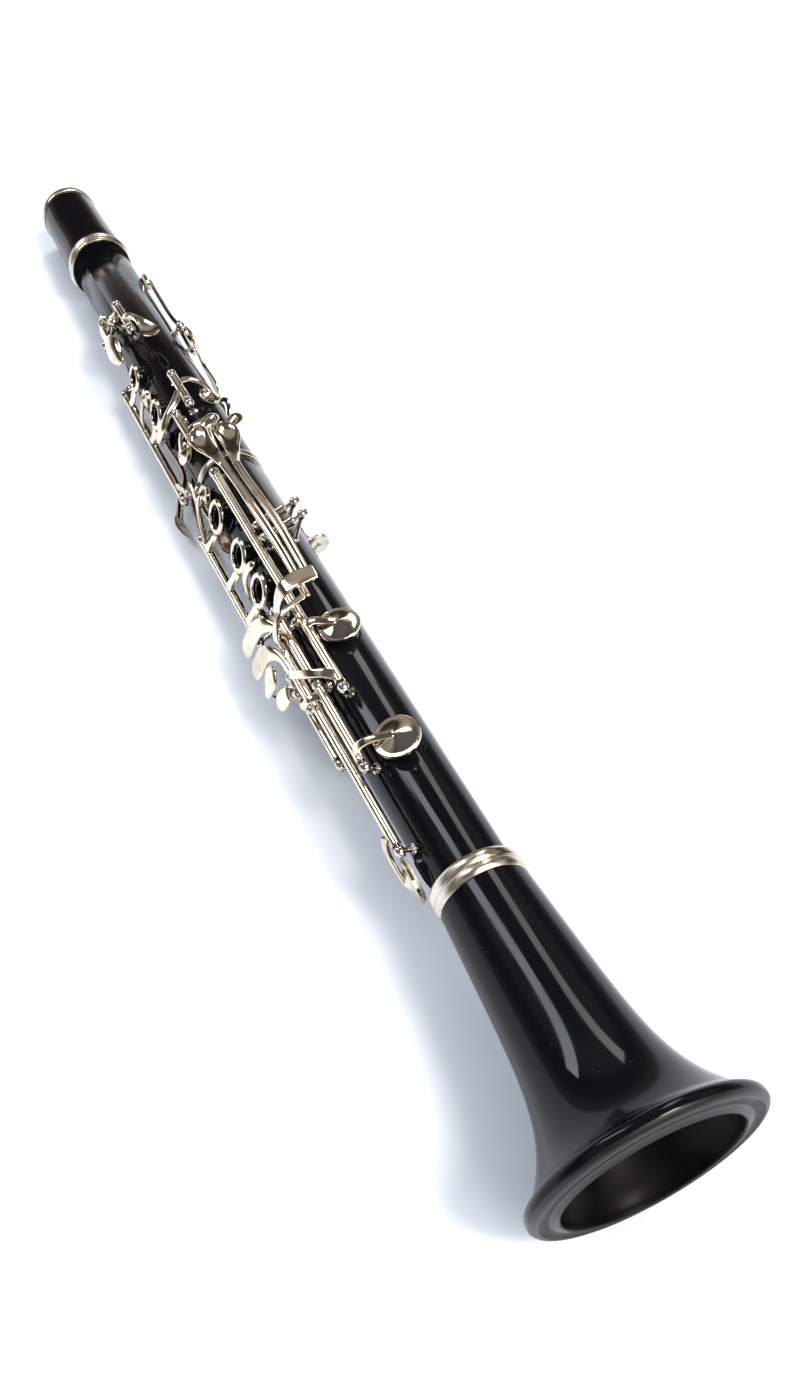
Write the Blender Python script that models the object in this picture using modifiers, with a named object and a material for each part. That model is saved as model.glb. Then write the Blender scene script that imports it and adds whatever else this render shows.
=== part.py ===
"""A Boehm-system B flat clarinet without its mouthpiece, lying on its right side.

Sizes are in millimetres and become metres through MM. The instrument is drawn in
its own space: S runs along the bore from the top of the barrel to the bell, FRONT
is the side of the finger holes and LEFT is the player's left. An angle goes round
the bore from the front (0) over the left (90) to the thumb side (180). The root
empty turns and tilts that space into the pose in which the clarinet lies.
"""

import math

import bmesh
import bpy
from mathutils import Matrix, Vector

MM = 0.001
GAP = 0.3

# Lengths along the bore
BARREL_END = 65.0
JOINT_LINE = 262.0
BELL_LINE = 497.0
BELL_END = 606.5
SOCKET_DEPTH = 16.5

# Radii of the wooden tube
BORE = 7.4
BODY = 14.3
TENON = 10.6
CORK = 11.6
SOCKET = 11.9
RIM = 39.5
MOUTH = 30.0
LIP = 2.8

# Key work
ROD = 0.85
TUBE_IN = 1.25
TUBE_OUT = 1.95
BALL = 2.35
NECK = 1.25
SEAT = BODY + GAP
PAD_THICK = 1.6
PAD_HOLE = 0.55
CHIMNEY_WALL = 0.7
RING_WALL = 2.0
RING_TOP = 17.1
BODY_SIDES = 24
POST_SIDES = 6
TUBE_SIDES = 8
CUP_SIDES = 12
RING_SIDES = 16

# The lying pose: the side that points up, the slope of the bore and the height
UP_SIDE = 72.0
SLOPE = 2.22


def clear_scene():
    """Removes every object of the open scene."""
    for item in list(bpy.data.objects):
        bpy.data.objects.remove(item, do_unlink=True)


def new_collection(name):
    """A new collection in the scene."""
    made = bpy.data.collections.new(name)
    bpy.context.scene.collection.children.link(made)
    return made


def new_material(name, colour, roughness, metallic):
    """A plain Principled material."""
    material = bpy.data.materials.new(name)
    material.use_nodes = True
    shader = material.node_tree.nodes["Principled BSDF"]
    shader.inputs["Base Color"].default_value = (*colour, 1.0)
    shader.inputs["Roughness"].default_value = roughness
    shader.inputs["Metallic"].default_value = metallic
    return material


clear_scene()
PARTS = new_collection("clarinet")
CUTTERS = new_collection("clarinet_cutters")
PLASTIC = new_material("black_plastic", (0.012, 0.012, 0.014), 0.08, 0.0)
SILVER = new_material("polished_nickel", (0.80, 0.77, 0.72), 0.10, 1.0)
SATIN = new_material("worn_ring_metal", (0.72, 0.68, 0.62), 0.28, 1.0)
STEEL = new_material("hinge_steel", (0.62, 0.61, 0.60), 0.22, 1.0)
LEATHER = new_material("pad_skin", (0.72, 0.63, 0.47), 0.60, 0.0)
CORK_SKIN = new_material("tenon_cork", (0.52, 0.33, 0.17), 0.85, 0.0)

ROOT = bpy.data.objects.new("clarinet_root", None)
PARTS.objects.link(ROOT)


CLOSED = Matrix.Identity(4)


def polar(s, radius, angle):
    """A point at a distance from the bore and an angle round it, in metres."""
    turn = math.radians(angle)
    return Vector((s, -radius * math.cos(turn), radius * math.sin(turn))) * MM


def flat(s, front, left):
    """A point given by how far it lies to the front and to the left, in metres."""
    return Vector((s, -front, left)) * MM


def outward(angle):
    """The unit vector that points away from the bore at an angle."""
    return polar(0.0, 1.0, angle) / MM


def frame_along(direction, point):
    """A matrix at a point whose Z axis follows a direction."""
    turn = direction.to_track_quat("Z", "Y").to_matrix().to_4x4()
    return Matrix.Translation(point) @ turn


def add_object(name, mesh, matrix, material, helper):
    """An object of the root, either a node of the clarinet or a helper of one."""
    made = bpy.data.objects.new(name, mesh)
    (CUTTERS if helper else PARTS).objects.link(made)
    made.parent = ROOT
    made.matrix_local = matrix
    if helper:
        made.hide_render = True
        made.display_type = "WIRE"
    else:
        mesh.materials.append(material)
    return made


def shade(mesh):
    """Smooth shading with the real edges kept sharp."""
    mesh.shade_smooth()
    mesh.set_sharp_from_angle(angle=math.radians(40))


def turned(name, outline, sides, matrix, material=None, closed=False):
    """A turned solid: an outline of (height, radius) points screwed round local Z."""
    mesh = bpy.data.meshes.new(name)
    points = [(radius * MM, 0.0, height * MM) for height, radius in outline]
    edges = [(i, i + 1) for i in range(len(points) - 1)]
    if closed:
        edges.append((len(points) - 1, 0))
    mesh.from_pydata(points, edges, [])
    made = add_object(name, mesh, matrix, material, material is None)
    screw = made.modifiers.new("turn", "SCREW")
    screw.axis = "Z"
    screw.steps = sides
    screw.render_steps = sides
    screw.use_merge_vertices = True
    screw.merge_threshold = 0.00001
    return made


def prism(name, sides, matrix, radius, depth, material=None):
    """A round bar centred on the matrix, its length along local Z."""
    mesh = bpy.data.meshes.new(name)
    shape = bmesh.new()
    size = {"radius1": radius * MM, "radius2": radius * MM, "depth": depth * MM}
    bmesh.ops.create_cone(shape, cap_ends=True, segments=sides, **size)
    shape.to_mesh(mesh)
    shape.free()
    shade(mesh)
    return add_object(name, mesh, matrix, material, material is None)


def bar(name, start, end, radius, sides=6):
    """A round helper bar from one point to another."""
    span = end - start
    middle = frame_along(span, (start + end) / 2)
    return prism(name, sides, middle, radius, span.length / MM)


def plate(name, centre, along, normal, size, sides=12):
    """An oval helper plate: its size is (length, width, thickness)."""
    length, width, thick = size
    side = normal.cross(along).normalized()
    run = side.cross(normal).normalized()
    turn = Matrix((run, side, normal)).transposed().to_4x4()
    made = prism(name, sides, Matrix.Translation(centre) @ turn, 1.0, 1.0)
    made.data.transform(Matrix.Diagonal((length / 2, width / 2, thick, 1.0)))
    return made


def strap(name, points, radius):
    """A bent helper arm of square section through the points, made a closed mesh."""
    curve = bpy.data.curves.new(name, "CURVE")
    curve.dimensions = "3D"
    curve.bevel_depth = radius * MM
    curve.bevel_resolution = 0
    curve.use_fill_caps = True
    spline = curve.splines.new("POLY")
    spline.points.add(len(points) - 1)
    for place, point in zip(spline.points, points):
        place.co = (*point, 1.0)
    guide = bpy.data.objects.new(name + "_curve", curve)
    CUTTERS.objects.link(guide)
    graph = bpy.context.evaluated_depsgraph_get()
    mesh = bpy.data.meshes.new_from_object(guide.evaluated_get(graph))
    bpy.data.objects.remove(guide, do_unlink=True)
    shape = bmesh.new()
    shape.from_mesh(mesh)
    bmesh.ops.remove_doubles(shape, verts=shape.verts, dist=0.000001)
    bmesh.ops.recalc_face_normals(shape, faces=shape.faces)
    shape.to_mesh(mesh)
    shape.free()
    return add_object(name, mesh, Matrix.Identity(4), None, True)


def opened(line, degrees):
    """The turn about a hinge line (angle, radius) by which a key stands open."""
    middle = Matrix.Translation(polar(0.0, line[1], line[0]))
    return middle @ Matrix.Rotation(math.radians(degrees), 4, "X") @ middle.inverted()


def limb(name, line, points, radius):
    """A helper arm that grows from the wall of the tube on a line (angle, radius).

    Each point is (S, radius, angle) or a vector; the arm leaves the tube level with the first.
    """
    path = [point if isinstance(point, Vector) else polar(*point) for point in points]
    foot = polar(points[0][0], line[1], line[0])
    root = foot + (path[0] - foot).normalized() * (TUBE_IN + 0.35) * MM
    return strap(name, [root] + path, radius)


def combine(base, pieces, operation="UNION"):
    """Adds the pieces to the base, or cuts them from it."""
    for number, piece in enumerate(pieces):
        boolean = base.modifiers.new(f"{operation.lower()}_{number}", "BOOLEAN")
        boolean.operation = operation
        boolean.object = piece
        boolean.solver = "EXACT"
    return base


def ball_outline(ball, height, flange=2.1):
    """The outline of a post: a ball on a turned neck with a flange at its foot."""
    arcs = [math.radians(degrees) for degrees in (0, 60, 138)]
    outline = [(ball * math.cos(arc), ball * math.sin(arc)) for arc in arcs]
    outline[0] = (ball, 0.0)
    return outline + [(-height + 1.2, NECK), (-height + 0.7, flange), (-height, flange), (-height, 0)]


def hinge(name, posts, ball=BALL):
    """A hinge: posts of ball and neck, standing on the body, and the rod they hold.

    Each post is (S, front, left); the rod runs through their balls.
    """
    solids = []
    for number, (s, front, left) in enumerate(posts):
        height = math.hypot(front, left) - SEAT
        place = frame_along(flat(0, front, left), flat(s, front, left))
        material = STEEL if number == 0 else None
        label = name if number == 0 else f"{name}_post_{number}"
        solids.append(turned(label, ball_outline(ball, height), POST_SIDES, place, material))
    rod = bar(f"{name}_rod", flat(*posts[0]), flat(*posts[-1]), ROD)
    return combine(solids[0], [rod] + solids[1:])


def key(name, start, end, pieces):
    """A key: the tube that turns on a hinge rod from start to end, and its pieces."""
    span = end - start
    reach = span.length / MM / 2
    outline = [(reach, TUBE_OUT), (-reach, TUBE_OUT), (-reach, TUBE_IN), (reach, TUBE_IN)]
    place = frame_along(span, (start + end) / 2)
    made = turned(name, outline, TUBE_SIDES, place, SILVER, closed=True)
    return combine(made, pieces)


def cup(name, s, angle, radius, rise=1.1, swing=CLOSED):
    """A helper pad cup: a low cone over a short rim, above its pad."""
    base = SEAT + PAD_THICK + GAP
    outline = [(rise + 1.0, 0.0), (1.0, radius), (0.0, radius), (0.0, 0.0)]
    place = swing @ frame_along(outward(angle), polar(s, base, angle))
    return turned(name, outline, CUP_SIDES, place)


def crown(cup_place, swing=CLOSED):
    """The point of a cup at which its arm ends."""
    return swing @ polar(cup_place[0], SEAT + PAD_THICK + GAP + 1.7, cup_place[1])


def pad(name, s, angle, radius, swing=CLOSED):
    """The stuffed pad under a cup."""
    outline = [(PAD_THICK, 0.0), (PAD_THICK, radius - 0.5), (0.0, radius - 0.5), (0.0, 0.0)]
    place = swing @ frame_along(outward(angle), polar(s, SEAT, angle))
    return turned(name, outline, CUP_SIDES, place, LEATHER)


def finger_ring(name, s, angle, outer, swing):
    """A helper ring that lies round a finger hole, a little above it."""
    inner = outer - RING_WALL
    outline = [(0.0, outer), (-1.7, outer), (-1.7, inner), (0.0, inner)]
    place = swing @ frame_along(outward(angle), polar(s, RING_TOP, angle))
    return turned(name, outline, RING_SIDES, place, closed=True)


# ---------------------------------------------------------------- the wooden tube

ALONG = frame_along(Vector((1, 0, 0)), Vector((0, 0, 0)))

# Finger holes: place along the bore, angle, radius and the outside of the chimney
FIRST, SECOND, THIRD = 178.0, 210.5, 232.0
FOURTH, FIFTH, SIXTH = 292.0, 319.0, 342.0
UPPER_HOLES = [(FIRST, 0, 3.3), (SECOND, 0, 3.7), (THIRD, 0, 3.8), (207.0, 180, 3.7)]
LOWER_HOLES = [(FOURTH, 2, 4.1), (FIFTH, 2, 4.1), (SIXTH, 2, 4.1)]
CHIMNEY = 16.6

# Pad cups: place along the bore, angle and radius
REGISTER_CUP = (94.0, 150, 4.3)
A_CUP = (122.5, -6, 4.2)
G_SHARP_CUP = (134.0, 15, 4.4)
RING_VENT_CUP = (196.0, -2, 4.3)
E_FLAT_CUP = (221.0, 97, 5.0)
C_SHARP_CUP = (246.5, 8, 5.0)
LOWER_VENT_CUP = (277.0, 4, 4.4)
SLIVER_CUP = (333.0, -88, 4.4)
F_SHARP_CUP = (385.0, 72, 8.2)
A_FLAT_CUP = (415.0, -78, 7.2)
F_CUP = (444.5, 62, 8.6)
E_CUP = (485.5, -40, 8.8)
SIDE_CUPS = [(184.0, -85, 3.1), (171.0, -99.5, 3.1), (110.0, -83, 4.0), (97.0, -107, 4.0)]
UPPER_PADS = [REGISTER_CUP, A_CUP, G_SHARP_CUP, RING_VENT_CUP, E_FLAT_CUP, C_SHARP_CUP] + SIDE_CUPS
LOWER_PADS = [LOWER_VENT_CUP, SLIVER_CUP, F_SHARP_CUP, A_FLAT_CUP, F_CUP, E_CUP]


def drill(name, s, angle, radius):
    """A helper that cuts one tone hole from the outside into the bore."""
    middle = frame_along(outward(angle), polar(s, (BODY + BORE) / 2 + 1.0, angle))
    return prism(name, 10, middle, radius, BODY - BORE + 6.0)


def chimney(name, s, angle, radius):
    """A helper collar that raises the edge of a finger hole."""
    middle = frame_along(outward(angle), polar(s, (CHIMNEY + BODY) / 2 - 1.0, angle))
    return prism(name, 16, middle, radius + CHIMNEY_WALL, CHIMNEY - BODY + 2.0)


def joint(name, outline, finger_holes, pad_holes):
    """A joint of the body with its raised finger holes and its drilled tone holes."""
    made = turned(name, outline, BODY_SIDES, ALONG, PLASTIC, closed=True)
    collars = [chimney(f"{name}_chimney_{i}", *hole) for i, hole in enumerate(finger_holes)]
    combine(made, collars)
    drills = [drill(f"{name}_finger_hole_{i}", *hole) for i, hole in enumerate(finger_holes)]
    for i, (s, angle, radius) in enumerate(pad_holes):
        drills.append(drill(f"{name}_pad_hole_{i}", s, angle, radius * PAD_HOLE))
    return combine(made, drills, "DIFFERENCE")


def ring(name, start, end, outer, inner, bead=0.7):
    """A ferrule: a band round a joint with a rounded bead on its outside."""
    middle = (start + end) / 2
    outline = [(end, outer - bead), (middle, outer), (start, outer - bead), (start, inner), (end, inner)]
    return turned(name, outline, BODY_SIDES, ALONG, SATIN, closed=True)


def cork(name, start, end, inner, outer):
    """The cork lapping round a tenon, which seals it in its socket."""
    outline = [(end, outer), (start, outer), (start, inner), (end, inner)]
    return turned(name, outline, BODY_SIDES, ALONG, CORK_SKIN, closed=True)


def build_barrel():
    """The barrel: a short tube with a socket at each end and a ring at each end."""
    low = BARREL_END - SOCKET_DEPTH
    outline = [
        (BARREL_END, 15.1), (57.6, 15.1), (57.6, 15.9), (42.0, 15.3), (20.0, 14.9),
        (3.8, 14.8), (3.8, 13.6), (0.0, 13.6), (0.0, SOCKET), (SOCKET_DEPTH, SOCKET),
        (SOCKET_DEPTH, BORE), (low, BORE), (low, SOCKET), (BARREL_END, SOCKET),
    ]
    turned("barrel", outline, BODY_SIDES, ALONG, PLASTIC, closed=True)
    ring("barrel_top_ring", 0.0, 3.5, 15.5, 13.6 + GAP, bead=0.5)
    ring("barrel_lower_ring", 57.6 + GAP, BARREL_END, 17.0, 15.1 + GAP, bead=0.9)


def build_upper_joint():
    """The upper joint with its two tenons and their corks."""
    top = BARREL_END + GAP
    tip = BARREL_END - SOCKET_DEPTH + 1.0
    end = JOINT_LINE + SOCKET_DEPTH - 1.0
    outline = [
        (end, TENON), (JOINT_LINE, TENON), (JOINT_LINE, BODY), (top, BODY),
        (top, TENON), (tip, TENON), (tip, BORE), (end, BORE),
    ]
    joint("upper_joint", outline, UPPER_HOLES, UPPER_PADS)
    cork("upper_tenon_cork", tip + 1.5, BARREL_END - 2.0, TENON + 0.3, CORK)
    cork("middle_tenon_cork", JOINT_LINE + 2.5, end - 1.5, TENON + 0.3, CORK)


def build_lower_joint():
    """The lower joint: a ringed socket above, a tenon for the bell below."""
    top = JOINT_LINE + GAP
    bottom = JOINT_LINE + SOCKET_DEPTH
    end = BELL_LINE + SOCKET_DEPTH - 1.0
    outline = [
        (end, TENON), (BELL_LINE - GAP, TENON), (BELL_LINE - GAP, BODY),
        (266.2, BODY), (266.2, 13.2), (top, 13.2),
        (top, SOCKET), (bottom, SOCKET), (bottom, BORE), (end, BORE),
    ]
    joint("lower_joint", outline, LOWER_HOLES, LOWER_PADS)
    ring("middle_joint_ring", top, 265.9, 15.5, 13.2 + GAP, bead=0.5)
    cork("lower_tenon_cork", BELL_LINE + 2.5, end - 1.5, TENON + 0.3, CORK)


def build_bell():
    """The bell: a flared tube with a rolled lip, and the ring round its socket."""
    start, end = BELL_LINE + 8.6, BELL_END - 2 * LIP
    outer = []
    for step in range(7):
        part = step / 6
        spread = 16.3 + 5.9 * part + (RIM - LIP - 22.6) * part ** 6.5
        outer.append((start + (end - start) * part, spread))
    lip = []
    for degrees in (60, 20, -20, -70):
        turn = math.radians(degrees)
        lip.append((BELL_END - LIP - LIP * math.sin(turn), RIM - LIP + LIP * math.cos(turn)))
    floor = BELL_LINE + SOCKET_DEPTH
    inner = []
    for part in (1.0, 0.85, 0.65, 0.35, 0.0):
        spread = BORE + 3.2 + 8.0 * part + (MOUTH - BORE - 11.8) * part ** 6.0
        inner.append((floor + (BELL_END - 1.5 - floor) * part, spread))
    socket = [(floor, SOCKET), (BELL_LINE, SOCKET), (BELL_LINE, 15.1), (start, 15.1)]
    outline = [(BELL_END + 1.2, MOUTH)] + lip[::-1] + outer[::-1] + socket[::-1] + inner[::-1]
    turned("bell", outline, BODY_SIDES + 8, ALONG, PLASTIC, closed=True)
    ring("bell_ring", BELL_LINE, BELL_LINE + 8.3, 17.3, 15.1 + GAP, bead=0.9)


def build_thumb_rest():
    """The hook under the right thumb: a foot on the back and a round rest."""
    s, foot = 306.5, SEAT
    base = plate("thumb_rest", polar(s, foot + 0.8, 180), Vector((1, 0, 0)), outward(180), (22, 10, 1.6))
    PARTS.objects.link(base)
    CUTTERS.objects.unlink(base)
    base.hide_render = False
    base.display_type = "TEXTURED"
    base.data.materials.append(SATIN)
    stem = strap("thumb_rest_stem", [polar(s + 2, foot + 0.8, 180), polar(s + 5, foot + 9, 180)], 2.2)
    rest = plate("thumb_rest_face", polar(s + 5.5, foot + 9, 176), outward(90), Vector((1, 0, 0)), (13, 15, 2.2))
    combine(base, [stem, rest])


# ---------------------------------------------------------------- upper joint keys


def along_key(name, line, start, end, pieces):
    """A key on a hinge line (angle, radius) that runs along the bore."""
    angle, radius = line
    return key(name, polar(start, radius, angle), polar(end, radius, angle), pieces)


def along_hinge(name, line, places, ball=BALL):
    """A hinge on a line (angle, radius) along the bore with posts at the given places."""
    turn = math.radians(line[0])
    front, left = line[1] * math.cos(turn), line[1] * math.sin(turn)
    return hinge(name, [(s, front, left) for s in places], ball)


def across(normal, height, lateral):
    """(front, left) of a point on a line across the bore: its normal, height, offset."""
    turn = math.radians(normal)
    front = height * math.cos(turn) - lateral * math.sin(turn)
    left = height * math.sin(turn) + lateral * math.cos(turn)
    return front, left


def build_register_key():
    """The register key on the thumb side."""
    s, normal, height = 157.0, 143, 19.0
    ends = [(s, *across(normal, height, side)) for side in (-8.5, 8.5)]
    hinge("register_key_hinge", ends)
    start, end = (flat(s, *across(normal, height, side)) for side in (-5.4, 5.4))
    path = [
        (110, 19.4, 149), (145, 20.6, 146), (152, 21.9, 144),
        (162, 21.9, 145), (176, 21.4, 150), (189, 20.6, 158),
    ]
    lever = strap("register_key_lever", [crown(REGISTER_CUP)] + [polar(*point) for point in path], 1.3)
    touch = plate("register_key_touch", polar(190, 20.8, 160), Vector((1, 0, 0)), outward(160), (15, 8, 1.6))
    key("register_key", start, end, [lever, cup("register_key_cup", *REGISTER_CUP), touch])


def build_throat_keys():
    """The A and G sharp keys at the top of the upper joint."""
    s, normal, height = 142.0, 10, 19.6
    ends = [(s, *across(normal, height, side)) for side in (-6.8, 5.6)]
    hinge("throat_a_hinge", ends, ball=2.1)
    start, end = (flat(s, *across(normal, height, side)) for side in (-4.3, 3.1))
    path = [(131, 20.0, 0), (137, 22.4, 6), (146, 22.4, 7), (152, 22.6, 8)]
    arm = strap("throat_a_arm", [crown(A_CUP)] + [polar(*point) for point in path], 1.2)
    touch = plate("throat_a_touch", polar(160, 22.6, 9), Vector((1, 0, 0)), outward(9), (22, 11, 1.8))
    key("throat_a_key", start, end, [arm, cup("throat_a_cup", *A_CUP), touch])
    pad("throat_a_pad", *A_CUP)

    line = (42, 19.6)
    along_hinge("throat_g_sharp_hinge", line, (132.5, 157.0), ball=2.2)
    path = [(146, 22.4, 48), (151, 22.0, 54), (158, 20.8, 58), (166, 20.8, 62)]
    finger = limb("throat_g_sharp_finger", line, path, 1.2)
    reach = limb("throat_g_sharp_arm", line, [(139, 19.2, 34), (136, 18.9, 24), crown(G_SHARP_CUP)], 1.1)
    touch = plate("throat_g_sharp_touch", polar(168, 20.8, 63), Vector((1, 0.1, 0)), outward(63), (13, 8.4, 1.4))
    pieces = [finger, reach, touch, cup("throat_g_sharp_cup", *G_SHARP_CUP, rise=0.8)]
    along_key("throat_g_sharp_key", line, 135.2, 154.4, pieces)
    pad("throat_g_sharp_pad", *G_SHARP_CUP)


def build_thumb_ring():
    """The ring round the thumb hole, on its own hinge at the back."""
    line = (-143, 19.5)
    swing = opened(line, -6.0)
    along_hinge("thumb_ring_hinge", line, (191, 219))
    around = finger_ring("thumb_ring_band", 207, 180, 7.2, swing)
    arm = limb("thumb_ring_arm", line, [(206, 19.2, -152), swing @ polar(207, 16.4, -160)], 1.1)
    along_key("thumb_ring_key", line, 193.7, 216.3, [around, arm])


def ring_arm(name, line, s, outer, swing):
    """The short helper arm from a hinge line to the edge of a finger ring."""
    edge = swing @ flat(s, RING_TOP - 0.9, 1.0 - outer)
    return limb(name, line, [(s, line[1] - 2.0, line[0] + 6), edge], 1.0)


def build_upper_rings():
    """The two finger rings of the left hand, which share one rod."""
    line = (-44, 22.4)
    swing = opened(line, 4.4)
    along_hinge("upper_ring_hinge", line, (166.5, 256))
    around = finger_ring("first_ring_band", FIRST, 0, 6.2, swing)
    arm = ring_arm("first_ring_arm", line, FIRST, 6.2, swing)
    reach = limb("ring_vent_arm", line, [(195, 20.8, -37), (196, 19.4, -20), crown(RING_VENT_CUP, swing)], 1.1)
    pieces = [around, arm, reach, cup("ring_vent_cup", *RING_VENT_CUP, 0.7, swing)]
    along_key("first_ring_key", line, 169.2, 199.6, pieces)
    pad("ring_vent_pad", *RING_VENT_CUP, swing)

    around = finger_ring("second_ring_band", SECOND, 0, 6.9, swing)
    arm = ring_arm("second_ring_arm", line, SECOND, 6.9, swing)
    lug = limb("bridge_lug", line, [(250, 21.2, -37), (256, 20.6, -27), (262, 20.6, -23)], 1.2)
    along_key("second_ring_key", line, 200.0, 253.3, [around, arm, lug])


def build_e_flat_key():
    """The cross E flat key with its sliver touch between two finger holes."""
    line = (57.5, 19.8)
    along_hinge("e_flat_hinge", line, (204.0, 229.0), ball=2.2)
    reach = limb("e_flat_arm", line, [(214, 20.6, 65), (214, 20.8, 80), (218, 19.4, 92), crown(E_FLAT_CUP)], 1.1)
    finger = limb("e_flat_finger", line, [(222.3, 20.0, 50), (225.6, 20.2, 34), (227.2, 20.6, 17), (226.8, 20.4, 6)], 1.1)
    touch = plate("e_flat_touch", flat(226.3, 20.4, -0.5), Vector((0.3, 0, 1)), outward(0), (16, 5.0, 1.5))
    pieces = [reach, finger, touch, cup("e_flat_cup", *E_FLAT_CUP, rise=0.8)]
    along_key("e_flat_key", line, 206.6, 226.4, pieces)


def build_c_sharp_key():
    """The C sharp key: its crescent touch lies behind the two long levers."""
    line = (35, 19.6)
    along_hinge("c_sharp_hinge", line, (229.5, 251.0), ball=2.2)
    reach = limb("c_sharp_arm", line, [(244, 19.0, 27), (245, 18.9, 18), crown(C_SHARP_CUP)], 1.1)
    finger = limb("c_sharp_finger", line, [(246.5, 21.4, 42), (248, 22.2, 54), (249.5, 22.3, 70)], 1.2)
    touch = plate("c_sharp_touch", polar(249.5, 22.3, 80), outward(170), outward(80), (18, 7.2, 1.6))
    pieces = [reach, finger, touch, cup("c_sharp_cup", *C_SHARP_CUP, rise=0.8)]
    along_key("c_sharp_key", line, 232.1, 248.4, pieces)


SIDE_NORMAL = -95
SIDE_HEIGHT = 16.9
SIDE_AXLES = {"lower": 203.0, "upper": 157.0}
# Axle, reach of the tube over it, lane of the lever, its bend (S, radius, angle) and
# the place of the touch (S, radius, angle)
SIDE_KEYS = [
    ("lower", (0.3, 4.1), 2.0, (246, 24.2, -73), (277.0, 27.6, -69)),
    ("lower", (-4.1, -0.3), -2.0, (246, 23.6, -82), (277.0, 25.0, -87)),
    ("upper", (0.3, 8.0), 6.4, (242, 27.0, -64), (259.0, 32.4, -61)),
    ("upper", (-8.0, -0.3), -6.4, (244, 23.4, -98), (259.0, 24.0, -100)),
]


def side_point(s, height, lateral):
    """A point over the row of side keys."""
    return flat(s, *across(SIDE_NORMAL, height, lateral))


def build_side_keys():
    """Four long side keys, two on each cross axle."""
    for name, s in SIDE_AXLES.items():
        ends = [(s, *across(SIDE_NORMAL, SIDE_HEIGHT, side)) for side in (-11.4, 11.4)]
        hinge(f"side_key_{name}_hinge", ends)
    for number, (axle, tube, lane, bend, place) in enumerate(SIDE_KEYS):
        s = SIDE_AXLES[axle]
        name = f"side_key_{number + 1}"
        touch_s, touch_radius, touch_angle = place
        path = [
            crown(SIDE_CUPS[number]), side_point(s - 8, 19.5, lane), side_point(s + 8, 19.6, lane),
            side_point(max(s + 16, 199), 21.4, lane), side_point(226, 21.4, lane), polar(*bend),
            polar(touch_s - 3, touch_radius - 0.4, touch_angle),
        ]
        touch = plate(f"{name}_touch", polar(*place), Vector((1, 0, 0)), outward(touch_angle), (15, 8.2, 1.8))
        pieces = [strap(f"{name}_lever", path, 1.2), touch, cup(f"{name}_cup", *SIDE_CUPS[number], rise=0.6)]
        key(name, *(side_point(s, SIDE_HEIGHT, lateral) for lateral in tube), pieces)


# ---------------------------------------------------------------- lower joint keys


def build_lower_rings():
    """The three finger rings of the right hand with their vent cup and bridge."""
    line = (-45, 24.2)
    swing = opened(line, 4.2)
    along_hinge("lower_ring_hinge", line, (283, 353))
    pieces = []
    for number, s in enumerate((FOURTH, FIFTH, SIXTH)):
        pieces.append(finger_ring(f"lower_ring_band_{number}", s, 2, 7.3, swing))
        pieces.append(ring_arm(f"lower_ring_arm_{number}", line, s, 6.6, swing))
    path = [(287.5, 22.2, -38), (280, 20.4, -26), (277, 19.8, -12), crown(LOWER_VENT_CUP, swing)]
    bridge = [(287.5, 22.2, -38), (280, 20.4, -27), (270, 18.2, -18), (259, 17.8, -14)]
    pieces += [limb("lower_vent_arm", line, path, 1.2), limb("bridge_lever", line, bridge, 1.2)]
    pieces.append(cup("lower_vent_cup", *LOWER_VENT_CUP, 0.8, swing))
    along_key("lower_ring_key", line, 285.7, 350.3, pieces)
    pad("lower_vent_pad", *LOWER_VENT_CUP, swing)


def build_sliver_key():
    """The curved sliver between the last two finger holes."""
    line = (-66, 20.2)
    along_hinge("sliver_hinge", line, (319, 347), ball=2.1)
    path = [
        (330.5, 18.6, -59), (330.5, 18.0, -50), (330.5, 17.6, -30),
        (330.5, 18.2, -10), (331, 19.2, 8), (332, 19.4, 20),
    ]
    reach = limb("sliver_arm", line, [(333, 19.6, -73), (333, 18.8, -80), crown(SLIVER_CUP)], 1.0)
    pieces = [limb("sliver_finger", line, path, 1.2), reach, cup("sliver_cup", *SLIVER_CUP, rise=0.7)]
    along_key("sliver_key", line, 321.4, 344.6, pieces)


AXLE_NORMAL = 52
AXLE_HEIGHT = 21.4
# Axle, path of the bar, and place of the touch
LEVERS = {
    "lh_e_lever": (
        320.5,
        [(283, 25.8, 52), (300, 26.2, 54.5), (320.5, 26.4, 56), (345, 23.9, 57.5), (369.5, 21.9, 55.5)],
        (264.5, 26.1, 48.5),
    ),
    "lh_f_sharp_lever": (
        329.0,
        [(286, 25.9, 65), (300, 26.6, 65), (329, 27.2, 66.5), (347, 25.9, 66.5), (365, 24.3, 66)],
        (268.5, 26.2, 71.5),
    ),
}


def build_left_hand_levers():
    """Two long see-saw levers for the left little finger."""
    for name, (s, path, (touch_s, touch_radius, touch_angle)) in LEVERS.items():
        ends = [(s, *across(AXLE_NORMAL, AXLE_HEIGHT, side)) for side in (-0.4, 16.8)]
        hinge(f"{name}_hinge", ends, ball=2.0)
        start, end = (flat(s, *across(AXLE_NORMAL, AXLE_HEIGHT, side)) for side in (1.9, 12.6))
        crossing = polar(*path[2])
        foot = start + (crossing - start).project(end - start)
        root = foot + (crossing - foot).normalized() * (TUBE_IN + 0.35) * MM
        neck = polar(touch_s + 4, touch_radius - 0.2, touch_angle)
        lever = strap(f"{name}_bar", [neck] + [polar(*point) for point in path], 1.45)
        touch = plate(f"{name}_touch", polar(touch_s, touch_radius, touch_angle), Vector((1, 0, 0)),
                      outward(touch_angle), (21, 9.4, 1.8))
        key(name, start, end, [lever, touch, bar(f"{name}_saddle", root, crossing, 0.9)])


F_SHARP_LINE = (39.0, 19.6)
RIGHT_LINE = (15.0, 20.2)
E_LINE = (-1.5, 20.4)
F_LINE = (-20.0, 19.8)


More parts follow.
